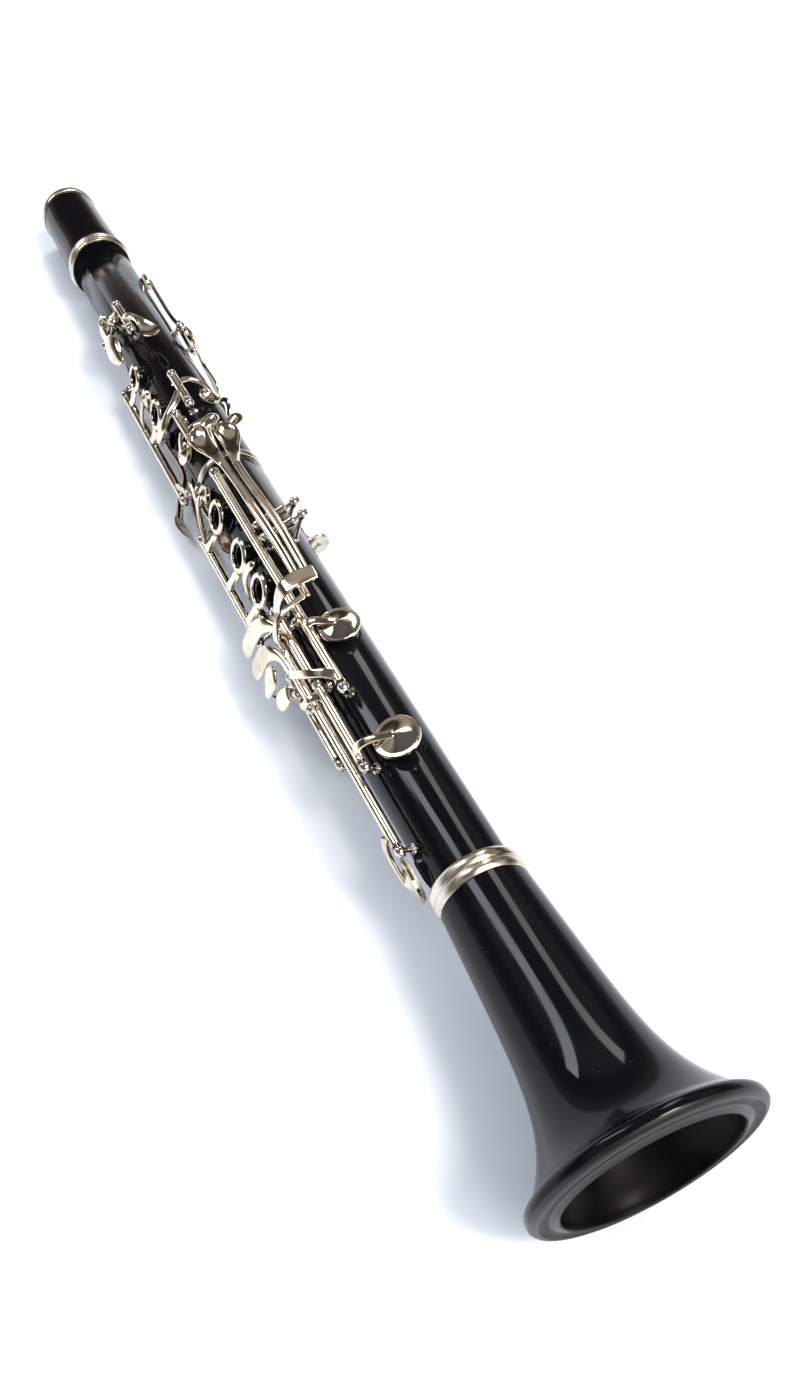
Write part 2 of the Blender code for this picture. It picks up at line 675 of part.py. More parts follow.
def build_f_sharp_keys():
    """The F sharp pad key on its long rod and the little-finger key that lifts it."""
    swing = opened(F_SHARP_LINE, 9.0)
    along_hinge("f_sharp_hinge", F_SHARP_LINE, (277, 413.5))
    reach = limb("f_sharp_arm", F_SHARP_LINE, [(380, 20.9, 46), crown(F_SHARP_CUP, swing)], 1.4)
    lug = limb("f_sharp_lug", F_SHARP_LINE, [(375, 20.9, 33), (374, 21.4, 29)], 0.8)
    path = [(407, 22.2, 37), (402, 24.4, 24), (394, 24.4, 6), (391.5, 24.3, 1)]
    bracket = limb("f_sharp_bracket", F_SHARP_LINE, path, 1.1)
    pieces = [reach, lug, bracket, cup("f_sharp_cup", *F_SHARP_CUP, swing=swing)]
    along_key("f_sharp_key", F_SHARP_LINE, 279.7, 410.8, pieces)
    pad("f_sharp_pad", *F_SHARP_CUP, swing)

    finger = limb("rh_f_sharp_finger", RIGHT_LINE, [(368, 22.8, 12), (365, 24.2, 6), (361, 24.9, -8)], 1.4)
    path = [(366, 22.2, 22), (364, 24.8, 28), (362.5, 27.4, 40), (362.5, 28.3, 56), (363, 28.0, 70)]
    yoke = limb("rh_f_sharp_yoke", RIGHT_LINE, path, 1.1)
    lifter = limb("rh_f_sharp_lifter", RIGHT_LINE, [(374, 19.9, 21), (374, 19.5, 27.5)], 0.8)
    touch = plate("rh_f_sharp_touch", flat(359.5, 24.6, -8.5), Vector((0.36, 0, 1)), outward(0), (25, 9.4, 1.6))
    along_key("rh_f_sharp_key", RIGHT_LINE, 364.7, 401.3, [finger, yoke, lifter, touch])


def build_f_keys():
    """The F pad key and the short little-finger key that lifts its lug from below."""
    swing = opened(RIGHT_LINE, 10.0)
    along_hinge("f_hinge", RIGHT_LINE, (362, 404, 446.5), ball=2.2)
    reach = limb("f_arm", RIGHT_LINE, [(440, 21.9, 23), (441.5, 22.0, 38), crown(F_CUP, swing)], 1.4)
    lug = limb("f_lug", RIGHT_LINE, [(409, 22.9, 11), (408.5, 25.0, 4), (407.5, 25.1, -5)], 0.8)
    along_key("f_key", RIGHT_LINE, 406.7, 443.8, [reach, lug, cup("f_cup", *F_CUP, swing=swing)])
    pad("f_pad", *F_CUP, swing)

    along_hinge("rh_f_hinge", F_LINE, (385.5, 404), ball=2.0)
    lifter = limb("rh_f_lifter", F_LINE, [(400, 22.2, -18), (404, 23.7, -10), (407.5, 23.3, -5)], 0.8)
    finger = limb("rh_f_finger", F_LINE, [(394.5, 22.4, -20.5), (393, 25.4, -21.5)], 1.3)
    touch = plate("rh_f_touch", flat(392.5, 24.0, -10.5), Vector((-0.25, 0, 1)), outward(-8), (17, 8.6, 1.6))
    along_key("rh_f_key", F_LINE, 388.0, 401.5, [lifter, finger, touch])


def build_e_key():
    """The E key, the lowest, on the longest rod."""
    swing = opened(E_LINE, -9.0)
    along_hinge("e_hinge", E_LINE, (372.5, 480.5), ball=2.0)
    reach = limb("e_arm", E_LINE, [(474, 20.8, -8), (477, 21.4, -20), crown(E_CUP, swing)], 1.3)
    finger = limb("e_finger", E_LINE, [(378, 23.2, -3), (374, 24.2, -6), (370.5, 24.9, -14)], 1.3)
    path = [(377, 23.0, 3), (375, 26.0, 14), (371, 26.7, 34), (367.5, 25.5, 53)]
    yoke = limb("e_yoke", E_LINE, path, 1.0)
    touch = plate("e_touch", flat(370.0, 24.6, -10.5), Vector((0.3, 0, 1)), outward(0), (25, 9.4, 1.6))
    pieces = [reach, finger, yoke, touch, cup("e_cup", *E_CUP, swing=swing)]
    along_key("e_key", E_LINE, 374.9, 478.1, pieces)
    pad("e_pad", *E_CUP, swing)


def build_a_flat_key():
    """The A flat key with its cup on the right side."""
    line = (-54, 21.0)
    along_hinge("a_flat_hinge", line, (375, 424))
    reach = limb("a_flat_arm", line, [(412, 20.2, -62), (414, 19.4, -70), crown(A_FLAT_CUP)], 1.2)
    finger = limb("a_flat_finger", line, [(384, 24.2, -52), (383, 27.6, -46), (382, 30.4, -35)], 1.3)
    touch = plate("a_flat_touch", flat(381.5, 25.2, -13.5), Vector((-0.12, 0, 1)), outward(-4), (21, 9.4, 1.6))
    along_key("a_flat_key", line, 377.7, 421.3, [reach, finger, touch, cup("a_flat_cup", *A_FLAT_CUP)])
    pad("a_flat_pad", *A_FLAT_CUP)


def lay_down():
    """Turns the instrument into its lying pose, centred over the ground point."""
    roll = Matrix.Rotation(math.radians(UP_SIDE - 90.0), 4, "X")
    slope = Matrix.Rotation(-math.radians(SLOPE), 4, "Y")
    ROOT.matrix_world = slope @ roll
    bpy.context.view_layer.update()
    graph = bpy.context.evaluated_depsgraph_get()
    low = Vector((math.inf,) * 3)
    high = -low
    for item in PARTS.objects:
        if item.type != "MESH":
            continue
        evaluated = item.evaluated_get(graph)
        for vertex in evaluated.data.vertices:
            point = evaluated.matrix_world @ vertex.co
            low = Vector(map(min, low, point))
            high = Vector(map(max, high, point))
    middle = (low + high) / 2
    ROOT.location = (-middle.x, -middle.y, -low.z)


build_barrel()
build_upper_joint()
build_lower_joint()
build_bell()
build_thumb_rest()
build_register_key()
build_throat_keys()
build_thumb_ring()
build_upper_rings()
build_e_flat_key()
build_c_sharp_key()
build_side_keys()
build_lower_rings()
build_sliver_key()
build_left_hand_levers()
build_f_sharp_keys()
build_f_keys()
build_e_key()
build_a_flat_key()
lay_down()
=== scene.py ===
import math

import bmesh
import bpy
from mathutils import Matrix, Vector


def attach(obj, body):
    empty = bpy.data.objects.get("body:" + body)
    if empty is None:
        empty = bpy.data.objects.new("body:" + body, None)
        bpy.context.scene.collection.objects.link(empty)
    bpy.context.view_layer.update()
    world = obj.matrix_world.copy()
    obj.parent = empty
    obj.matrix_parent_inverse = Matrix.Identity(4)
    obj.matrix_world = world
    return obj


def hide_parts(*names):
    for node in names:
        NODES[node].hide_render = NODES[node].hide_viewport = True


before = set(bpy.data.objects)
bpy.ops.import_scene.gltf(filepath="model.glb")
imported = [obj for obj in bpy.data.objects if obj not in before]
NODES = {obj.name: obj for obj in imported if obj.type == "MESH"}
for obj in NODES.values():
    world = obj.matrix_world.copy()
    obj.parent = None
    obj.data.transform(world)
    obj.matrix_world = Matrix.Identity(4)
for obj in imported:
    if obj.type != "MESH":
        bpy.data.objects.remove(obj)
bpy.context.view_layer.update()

# The angle round the bore that points up as the instrument lies on its side
UP_SIDE = 72.0

# ---------------- the instrument's own space


def middle_of(node):
    """The mean of a ring's vertices, which lies on the bore."""
    points = [vertex.co for vertex in NODES[node].data.vertices]
    return sum(points, Vector()) / len(points)


def instrument_matrix():
    """The matrix from the instrument's millimetres (S, -front, left) to the frame."""
    top, foot = middle_of("barrel_top_ring"), middle_of("bell_ring")
    along = (foot - top).normalized()
    first = min((vertex.co - top).dot(along) for vertex in NODES["barrel_top_ring"].data.vertices)
    slope = Matrix.Rotation(-math.atan2(along.z, along.x), 4, "Y")
    roll = Matrix.Rotation(math.radians(UP_SIDE - 90.0), 4, "X")
    return Matrix.Translation(top + along * first) @ slope @ roll @ Matrix.Scale(0.001, 4)


WORLD = instrument_matrix()


def polar(s, radius, angle):
    """A point from its place along the bore, its radius and its angle from the front to the left."""
    turn = math.radians(angle)
    return Vector((s, -radius * math.cos(turn), radius * math.sin(turn)))


def spot(place):
    """A point given as a vector, or as its (S, radius, angle)."""
    return place if isinstance(place, Vector) else polar(*place)


def flat(s, front, left):
    """A point from its place along the bore and its distances to the front and the left."""
    return Vector((s, -front, left))


def outward(angle):
    """The direction away from the bore at an angle."""
    return polar(0.0, 1.0, angle)


def across(normal, height, lateral):
    """(front, left) on a line across the bore: its normal, height and offset."""
    turn = math.radians(normal)
    front = height * math.cos(turn) - lateral * math.sin(turn)
    return front, height * math.sin(turn) + lateral * math.cos(turn)


def opened(line, degrees):
    """The turn of a key by some degrees about an axle (angle, radius) along the bore."""
    middle = Matrix.Translation(polar(0.0, line[1], line[0]))
    return middle @ Matrix.Rotation(math.radians(degrees), 4, "X") @ middle.inverted()


SHUT = Matrix.Identity(4)

# Degrees by which keys that stand open at rest are turned from shut
OPEN = {"thumb_ring": -6.0, "upper_rings": 4.4, "lower_rings": 4.2, "f_sharp": 9.0, "f": 10.0, "e": -9.0}


# ---------------- materials


class Shader:
    """A Principled material with short calls for its nodes."""

    def __init__(self, name, colour, rough, metal=0.0):
        self.material = bpy.data.materials.new(name)
        self.material.use_nodes = True
        self.tree = self.material.node_tree
        self.bsdf = self.tree.nodes["Principled BSDF"]
        self.bsdf.inputs["Base Color"].default_value = (*colour, 1.0)
        self.bsdf.inputs["Roughness"].default_value = rough
        self.bsdf.inputs["Metallic"].default_value = metal

    def node(self, kind, **values):
        made = self.tree.nodes.new(kind)
        for key, value in values.items():
            if hasattr(made, key):
                setattr(made, key, value)
            else:
                made.inputs[key.replace("_", " ")].default_value = value
        return made

    def link(self, source, target):
        self.tree.links.new(source, target)

    def place(self, scale=(1, 1, 1)):
        """Object coordinates, stretched."""
        where = self.node("ShaderNodeTexCoord")
        mapping = self.node("ShaderNodeMapping")
        mapping.inputs["Scale"].default_value = scale
        self.link(where.outputs["Object"], mapping.inputs["Vector"])
        return mapping.outputs["Vector"]

    def noise(self, scale, detail=4.0, rough=0.6, stretch=(1, 1, 1)):
        made = self.node("ShaderNodeTexNoise", Scale=scale, Detail=detail, Roughness=rough)
        self.link(self.place(stretch), made.inputs["Vector"])
        return made.outputs["Fac"]

    def ramp(self, source, stops):
        made = self.node("ShaderNodeValToRGB")
        marks = made.color_ramp.elements
        while len(marks) < len(stops):
            marks.new(0.5)
        for mark, (position, colour) in zip(marks, stops):
            mark.position = position
            mark.color = (*colour, 1.0)
        self.link(source, made.inputs["Fac"])
        return made.outputs["Color"]

    def span(self, source, low, high, start=0.0, end=1.0):
        made = self.node("ShaderNodeMapRange")
        made.inputs["From Min"].default_value = start
        made.inputs["From Max"].default_value = end
        made.inputs["To Min"].default_value = low
        made.inputs["To Max"].default_value = high
        self.link(source, made.inputs["Value"])
        return made.outputs["Result"]

    def add(self, first, second, operation="ADD"):
        made = self.node("ShaderNodeMath", operation=operation)
        self.link(first, made.inputs[0])
        self.link(second, made.inputs[1])
        return made.outputs["Value"]

    def bump(self, source, strength, distance):
        made = self.node("ShaderNodeBump", Strength=strength, Distance=distance)
        self.link(source, made.inputs["Height"])
        self.link(made.outputs["Normal"], self.bsdf.inputs["Normal"])

    def colour(self, source):
        self.link(source, self.bsdf.inputs["Base Color"])

    def rough(self, source):
        self.link(source, self.bsdf.inputs["Roughness"])


def gloss_black(name, tint=(0.006, 0.006, 0.008)):
    """Polished black plastic with handling haze, dust and hairline scratches."""
    made = Shader(name, tint, 0.07)
    haze = made.noise(38.0, 5.0, 0.65)
    hairs = made.noise(900.0, 2.0, 0.5, (0.06, 1.0, 1.0))
    dust = made.node("ShaderNodeTexVoronoi", Scale=420.0)
    made.link(made.place(), dust.inputs["Vector"])
    specks = made.span(dust.outputs["Distance"], 1.0, 0.0, 0.03, 0.10)
    pick = made.span(made.noise(60.0, 2.0, 0.5), 0.0, 1.0, 0.56, 0.66)
    spots = made.add(specks, pick, "MULTIPLY")
    made.colour(made.ramp(spots, [(0.0, tint), (1.0, (0.09, 0.085, 0.08))]))
    smear = made.span(haze, 0.045, 0.17, 0.38, 0.72)
    made.rough(made.add(smear, made.span(spots, 0.0, 0.35)))
    made.bump(hairs, 0.05, 0.00002)
    made.bsdf.inputs["IOR"].default_value = 1.52
    made.bsdf.inputs["Specular IOR Level"].default_value = 0.24
    return made.material


def satin_black(name, shine, pale):
    """The same plastic rubbed dull: pale is its lightest grey, shine how much it reflects."""
    made = Shader(name, (0.010, 0.0095, 0.010), 0.36)
    turning = made.noise(700.0, 2.0, 0.5, (1.0, 0.05, 0.05))
    haze = made.noise(70.0, 5.0, 0.65)
    made.colour(made.ramp(haze, [(0.35, (pale * 0.4,) * 3), (0.70, (pale, pale * 0.92, pale * 0.88))]))
    made.rough(made.add(made.span(haze, 0.30, 0.44, 0.3, 0.7), made.span(turning, -0.03, 0.03)))
    made.bump(turning, 0.06, 0.00003)
    made.bsdf.inputs["Specular IOR Level"].default_value = shine
    return made.material


def nickel(name, tint=(0.79, 0.725, 0.63), rough=(0.06, 0.18)):
    """Polished nickel silver: warm, slightly tarnished, with fine wipe marks."""
    made = Shader(name, tint, 0.1, 1.0)
    cloud = made.noise(85.0, 5.0, 0.6)
    stain = made.noise(260.0, 3.0, 0.6)
    dark = tuple(value * scale for value, scale in zip(tint, (0.74, 0.68, 0.60)))
    pale = tuple(min(1.0, value * 1.10) for value in tint)
    mixed = made.add(cloud, made.span(stain, -0.12, 0.12), "ADD")
    made.colour(made.ramp(mixed, [(0.28, dark), (0.48, tint), (0.72, pale)]))
    made.rough(made.span(cloud, rough[0], rough[1], 0.35, 0.75))
    wipe = made.noise(700.0, 3.0, 0.6, (1.0, 0.35, 1.0))
    made.bump(wipe, 0.06, 0.00003)
    return made.material


def satin_ring(name):
    """Worn ring metal, brushed round its circumference."""
    tint = (0.70, 0.655, 0.585)
    made = Shader(name, tint, 0.26, 1.0)
    rounds = made.noise(2600.0, 2.0, 0.6, (1.0, 0.02, 0.02))
    wear = made.noise(120.0, 5.0, 0.62)
    made.colour(made.ramp(wear, [(0.30, (0.50, 0.44, 0.37)), (0.50, tint), (0.74, (0.84, 0.81, 0.75))]))
    made.rough(made.add(made.span(wear, 0.16, 0.36, 0.3, 0.7), made.span(rounds, -0.05, 0.07)))
    made.bump(rounds, 0.18, 0.00003)
    return made.material


def turned_steel(name):
    """Hinge steel: turned posts and screws, with a cloudy tone."""
    tint = (0.70, 0.675, 0.63)
    made = Shader(name, tint, 0.14, 1.0)
    cloud = made.noise(240.0, 4.0, 0.6)
    made.colour(made.ramp(cloud, [(0.3, (0.46, 0.42, 0.36)), (0.5, tint), (0.75, (0.82, 0.80, 0.77))]))
    made.rough(made.span(cloud, 0.08, 0.24, 0.3, 0.7))
    made.bump(made.noise(1500.0, 2.0, 0.5), 0.08, 0.00002)
    return made.material


def pad_skin(name):
    """Pale fish-skin pad, slightly translucent and creased."""
    made = Shader(name, (0.80, 0.72, 0.56), 0.5)
    patch = made.noise(300.0, 5.0, 0.65)
    made.colour(made.ramp(patch, [(0.3, (0.60, 0.48, 0.30)), (0.6, (0.84, 0.76, 0.60))]))
    made.rough(made.span(patch, 0.38, 0.62))
    made.bump(made.noise(1800.0, 4.0, 0.6), 0.25, 0.00008)
    made.bsdf.inputs["Subsurface Weight"].default_value = 0.08
    made.bsdf.inputs["Subsurface Radius"].default_value = (0.001, 0.0006, 0.0004)
    return made.material


def greased_cork(name):
    """Tenon cork with dark pores and a waxy shine."""
    made = Shader(name, (0.50, 0.31, 0.16), 0.7)
    grain = made.noise(900.0, 6.0, 0.7, (0.6, 1.0, 1.0))
    made.colour(made.ramp(grain, [(0.32, (0.16, 0.08, 0.035)), (0.46, (0.44, 0.26, 0.12)),
                (0.7, (0.66, 0.45, 0.25))]))
    made.rough(made.span(grain, 0.45, 0.85))
    made.bump(grain, 0.5, 0.00015)
    return made.material


def blued_steel(name):
    """Dark blued steel, seen in the slots of the screws."""
    made = Shader(name, (0.10, 0.12, 0.22), 0.28, 1.0)
    heat = made.noise(400.0, 3.0, 0.6)
    made.colour(made.ramp(heat, [(0.3, (0.05, 0.07, 0.18)), (0.7, (0.24, 0.22, 0.28))]))
    made.rough(made.span(heat, 0.2, 0.4))
    return made.material


def white_sheet(name):
    """The pale sheet the clarinet lies on, with a fine woven rib."""
    made = Shader(name, (0.90, 0.90, 0.90), 0.75)
    rib = made.node("ShaderNodeTexWave", Scale=260.0, Distortion=1.0, Detail=2.0)
    rib.bands_direction = "DIAGONAL"
    rib.inputs["Detail Scale"].default_value = 1.5
    made.link(made.place((0.9, 0.55, 0.0)), rib.inputs["Vector"])
    cloth = made.noise(5.0, 4.0, 0.55)
    made.colour(made.ramp(cloth, [(0.3, (0.89, 0.89, 0.90)), (0.7, (0.94, 0.94, 0.94))]))
    made.bump(rib.outputs["Fac"], 0.05, 0.0003)
    return made.material


BLACK = gloss_black("gloss_black_plastic")
SATIN = satin_black("satin_black_plastic", 0.5, 0.022)
INSIDE = satin_black("dull_black_inside", 0.12, 0.007)
NICKEL = nickel("polished_nickel_silver")
RING = satin_ring("worn_ring_metal")
STEEL = turned_steel("turned_steel")
SKIN = pad_skin("pad_skin")
CORK = greased_cork("greased_cork")
SLOT_STEEL = blued_steel("blued_spring_steel")

# ---------------- mesh making

def make(name, points, faces, body, material, node=None, turn=SHUT, sharp=38.0):
    """A piece from points in the instrument's millimetres."""
    place = WORLD @ turn
    mesh = bpy.data.meshes.new(name)
    mesh.from_pydata([place @ Vector(point) for point in points], [], faces)
    work = bmesh.new()
    work.from_mesh(mesh)
    bmesh.ops.remove_doubles(work, verts=work.verts, dist=1e-7)
    bmesh.ops.recalc_face_normals(work, faces=work.faces)
    work.to_mesh(mesh)
    work.free()
    mesh.shade_smooth()
    mesh.set_sharp_from_angle(angle=math.radians(sharp))
    mesh.materials.append(material)
    made = bpy.data.objects.new(name, mesh)
    bpy.context.scene.collection.objects.link(made)
    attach(made, body)
    if node:
        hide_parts(node)
    return made


def soften(profile, size, loop=False, steps=4):
    """Rounds the corners of a profile of (height, radius) points."""
    count = len(profile)
    out = []
    for i, point in enumerate(profile):
        here = Vector(point)
        if not loop and i in (0, count - 1):
            out.append(here)
            continue
        before, after = Vector(profile[i - 1]), Vector(profile[(i + 1) % count])
        into, away = before - here, after - here
        if into.length < 1e-6 or away.length < 1e-6 or into.angle(away) > math.radians(160):
            out.append(here)
            continue
        cut = min(size, into.length * 0.45, away.length * 0.45)
        start, end = here + into.normalized() * cut, here + away.normalized() * cut
        for step in range(steps + 1):
            t = step / steps
            out.append(start * (1 - t) ** 2 + here * (2 * t * (1 - t)) + end * t * t)
    return [tuple(point) for point in out]


def lathe(name, body, centre, axis, profile, material, sides=32, loop=False, soft=0.0, **more):
    """A turned piece: (height, radius) points carried round an axis through a point."""
    if soft:
        profile = soften(profile, soft, loop)
    turn = axis.to_track_quat("Z", "Y").to_matrix()
    points, faces, rings = [], [], []
    for height, radius in profile:
        if radius < 1e-6:
            rings.append([len(points)])
            points.append(centre + turn @ Vector((0, 0, height)))
            continue
        rings.append([len(points) + k for k in range(sides)])
        for k in range(sides):
            angle = 2 * math.pi * k / sides
            spoke = Vector((radius * math.cos(angle), radius * math.sin(angle), height))
            points.append(centre + turn @ spoke)
    pairs = list(zip(rings, rings[1:])) + ([(rings[-1], rings[0])] if loop else [])
    for one, two in pairs:
        for k in range(sides):
            n = (k + 1) % sides
            if len(one) == 1 and len(two) == 1:
                continue
            if len(one) == 1:
                faces.append((one[0], two[n], two[k]))
            elif len(two) == 1:
                faces.append((one[k], one[n], two[0]))
            else:
                faces.append((one[k], one[n], two[n], two[k]))
    return make(name, points, faces, body, material, **more)


def spline(values, t):
    """Catmull-Rom through a list of vectors or numbers, t from 0 to len - 1."""
    last = len(values) - 1
    i = min(int(t), last - 1)
    f = t - i
    a, b = values[max(i - 1, 0)], values[i]
    c, d = values[i + 1], values[min(i + 2, last)]
    square = (a * 2 - b * 5 + c * 4 - d) * f ** 2
    cube = (b * 3 - a - c * 3 + d) * f ** 3
    return (b * 2 + (c - a) * f + square + cube) * 0.5


def loft(name, body, stations, material=NICKEL, samples=34, around=20, power=2.6, blunt=(0.0, 0.0), **more):
    """A flowing bar or blade through stations.

    A station is (spot, width, thick, dish, scoop, face): dish bends the section up at
    its middle, scoop hollows its upper side, face is the angle it looks towards.
    Blunt rounds each end over that many times its half width.
    """
    rows = []
    for station in stations:
        point, width, thick = spot(station[0]), *station[1:3]
        dish, scoop, face = (list(station[3:]) + [0.0, 0.0, None][len(station) - 3:])[:3]
        angle = math.degrees(math.atan2(point.z, -point.y)) if face is None else face
        rows.append((point, width, thick, dish, scoop, outward(angle)))
    columns = list(zip(*rows))
    last = len(rows) - 1
    times = [last * (0.5 - 0.5 * math.cos(math.pi * k / samples)) for k in range(samples + 1)]
    spine = [spline(columns[0], t) for t in times]
    lengths = [0.0]
    for one, two in zip(spine, spine[1:]):
        lengths.append(lengths[-1] + (two - one).length)
    points, faces = [], []
    for k, t in enumerate(times):
        width = max(0.05, spline(columns[1], t))
        thick = max(0.1, spline(columns[2], t))
        dish, scoop = spline(columns[3], t), spline(columns[4], t)
        for side, reach in ((lengths[k], blunt[0]), (lengths[-1] - lengths[k], blunt[1])):
            limit = reach * width / 2
            if limit and side < limit:
                share = math.sqrt(max(0.0, 1 - (1 - side / limit) ** 2))
                width *= max(share, 0.02)
                thick *= 0.45 + 0.55 * share
                scoop *= share
                dish *= share ** 2
        ahead = spine[min(k + 1, samples)] - spine[max(k - 1, 0)]
        ahead.normalize()
        up = spline(columns[5], t)
        up = (up - ahead * up.dot(ahead)).normalized()
        side = up.cross(ahead)
        for n in range(around):
            angle = 2 * math.pi * (n + 0.5) / around
            x = math.copysign(abs(math.cos(angle)) ** (2 / power), math.cos(angle))
            y = math.copysign(abs(math.sin(angle)) ** (2 / power), math.sin(angle)) * thick / 2
            y += dish * (1 - x * x)
            if math.sin(angle) > 0 and abs(x) < 0.84:
                y -= scoop * (1 - (x / 0.84) ** 2) ** 0.7
            points.append(spine[k] + side * (x * width / 2) + up * y)
    for k in range(samples):
        for n in range(around):
            m = (n + 1) % around
            faces.append((k * around + n, k * around + m, (k + 1) * around + m, (k + 1) * around + n))
    faces.append(tuple(range(around))[::-1])
    faces.append(tuple(samples * around + n for n in range(around)))
    return make(name, points, faces, body, material, **more)


# ---------------- key work parts

# Radius of the seats that pads close on, height of a cup's rim over its seat, radius of a ball post
SEAT = 14.6
PAD_GAP = 1.3
BALL = 2.35

# Radii of the hinge rods and of the key tubes round them, the height of the finger rings' tops,
# and a screw head's distance from its post's middle as a share of the ball's radius
ROD = 0.8
TUBE_RADIUS = 1.98
RING_TOP = 17.1
HEAD_PLACE = 0.92


def screw(name, body, centre, axis, radius=1.25):
    """A slotted screw head at the end of a hinge rod."""
    lathe(name, body, centre, axis, [(-0.4, 0), (-0.4, radius), (0.45, radius), (0.62, radius * 0.7),
            (0.62, 0.0)], STEEL, 20, soft=0.15)
    side = axis.orthogonal().normalized()
    up = axis.cross(side)
    slot = [centre + axis * h + side * a * radius * 0.92 + up * b * 0.17
            for h in (0.40, 0.66) for a, b in ((-1, -1), (1, -1), (1, 1), (-1, 1))]
    sides = [(0, 1, 2, 3), (4, 5, 6, 7), (0, 1, 5, 4), (1, 2, 6, 5), (2, 3, 7, 6), (3, 0, 4, 7)]
    make(name + "_slot", slot, sides, body, SLOT_STEEL)


def post(name, place, ball=BALL, node=None):
    """A ball post: flange, turned neck and ball."""
    s, front, left = place
    foot = flat(0, front, left)
    height = foot.length - SEAT
    neck = ball * 0.52
    profile = [(-height - 0.5, 0), (-height - 0.5, ball * 0.98), (-height + 0.5, ball * 0.98),
               (-height + 0.75, neck * 1.35), (-height + 1.15, neck * 1.3), (-height + 1.35, neck),
               (-ball * 1.25, neck * 0.92)]
    latitudes = [math.radians(degrees) for degrees in range(-58, 90, 8)]
    profile += [(ball * math.sin(latitude), ball * math.cos(latitude)) for latitude in latitudes]
    profile.append((ball, 0.0))
    lathe(name, "body", flat(s, front, left), foot.normalized(), profile, STEEL, 24, node=node, sharp=50)


def hinge(name, places, ball=BALL, first_head=True):
    """Ball posts with the rod and its screw heads, which stand for one CAD node.

    The first head is left out where a neighbouring key sweeps past it.
    """
    for number, place in enumerate(places):
        post(f"{name}_post_{number + 1}", place, ball, name if number == 0 else None)
    start, end = flat(*places[0]), flat(*places[-1])
    axis = (end - start).normalized()
    length = (end - start).length
    lathe(f"{name}_rod", "body", start, axis, [(0, 0), (0, ROD), (length, ROD), (length, 0)], STEEL, 16)
    if first_head:
        screw(f"{name}_screw_1", "body", start - axis * (ball * HEAD_PLACE), -axis)
    screw(f"{name}_screw_2", "body", end + axis * (ball * HEAD_PLACE), axis)


def along_hinge(name, line, places, ball=BALL, **more):
    """A hinge along the bore: line is its (angle, radius), places are its posts."""
    hinge(name, [(s, *across(line[0], line[1], 0)) for s in places], ball, **more)


def tube(body, start, end):
    """The tube of a key round its rod, with a small collar at each end."""
    radius, length = TUBE_RADIUS, (end - start).length
    profile = [(0, 1.15), (0, radius * 1.04), (0.9, radius * 1.04), (1.05, radius), (length - 1.05, radius),
               (length - 0.9, radius * 1.04), (length, radius * 1.04), (length, 1.15)]
    lathe(f"{body}_tube", body, start, (end - start).normalized(), profile, NICKEL, 28, loop=True,
        soft=0.15, node=body)


def along_tube(body, line, start, end):
    tube(body, polar(start, line[1], line[0]), polar(end, line[1], line[0]))


def cross_hinge(name, s, line, sides, ball=BALL):
    """A hinge across the bore: line is its normal and height, sides are its posts' offsets."""
    hinge(name, [(s, *across(*line, side)) for side in sides], ball)


def cross_tube(body, s, line, sides):
    tube(body, *(flat(s, *across(*line, side)) for side in sides))


def cup(name, body, place, rise=1.6, swing=SHUT, node=None):
    """A pointed pad cup with its stuffed pad, set over the black seat it closes on."""
    s, angle, radius = place
    axis = outward(angle)
    base = SEAT + PAD_GAP
    profile = [(0.6, 0), (0.6, radius - 0.6), (0.0, radius - 0.6), (0.0, radius), (1.1, radius),
               (1.32, radius - 0.25), (1.32, radius * 0.83), (1.45, radius * 0.76)]
    for share in (0.62, 0.45, 0.3, 0.18, 0.09, 0.04):
        profile.append((1.45 + rise * (1 - share / 0.76) ** 1.15, radius * share))
    profile.append((1.45 + rise, 0))
    lathe(name, body, polar(s, base, angle), axis, profile, NICKEL, 48, turn=swing, sharp=30)
    skin = [(0.0, 0), (0.0, radius - 1.3), (0.25, radius - 0.8), (1.2, radius - 0.75),
        (1.6, radius - 1.2), (1.6, 0)]
    lathe(name.replace("cup", "pad"), body, polar(s, SEAT + 0.1, angle), axis, skin, SKIN, 40, soft=0.25,
        turn=swing, node=node)


def apex(place, swing=SHUT, lift=2.2):
    """The point on top of a cup that its arm runs to."""
    return swing @ polar(place[0], SEAT + PAD_GAP + lift, place[1])


def finger_ring(name, body, s, angle, outer, swing, wall=2.0):
    """A rounded ring plate round a finger hole."""
    inner = outer - wall
    profile = [(0.0, inner + 0.35), (-0.35, inner), (-1.7, inner - 0.05), (-1.75, inner + 0.5),
               (-1.7, outer - 0.1), (-0.9, outer + 0.25), (-0.15, outer - 0.35), (0.12, outer - 0.95)]
    lathe(name, body, polar(s, RING_TOP, angle), outward(angle), profile, NICKEL, 56, loop=True, soft=0.3,
        turn=swing, sharp=60)


def arm(name, body, points, widths, thick=1.7, ends=(0.0, 0.8), **more):
    """A bar of flowing width through points."""
    stations = [(point, width, thick) for point, width in zip(points, widths)]
    return loft(name, body, stations, blunt=ends, **more)


# ---------------- the black tube

# Radii of the bore, the joints' outside, the tenons and the sockets
BORE, BODY, TENON, SOCKET = 7.4, 14.3, 10.6, 11.9
TUBE_SIDES, BELL_SIDES, CORK_SIDES = 96, 128, 64
ORIGIN = Vector((0, 0, 0))
AXIS = Vector((1, 0, 0))

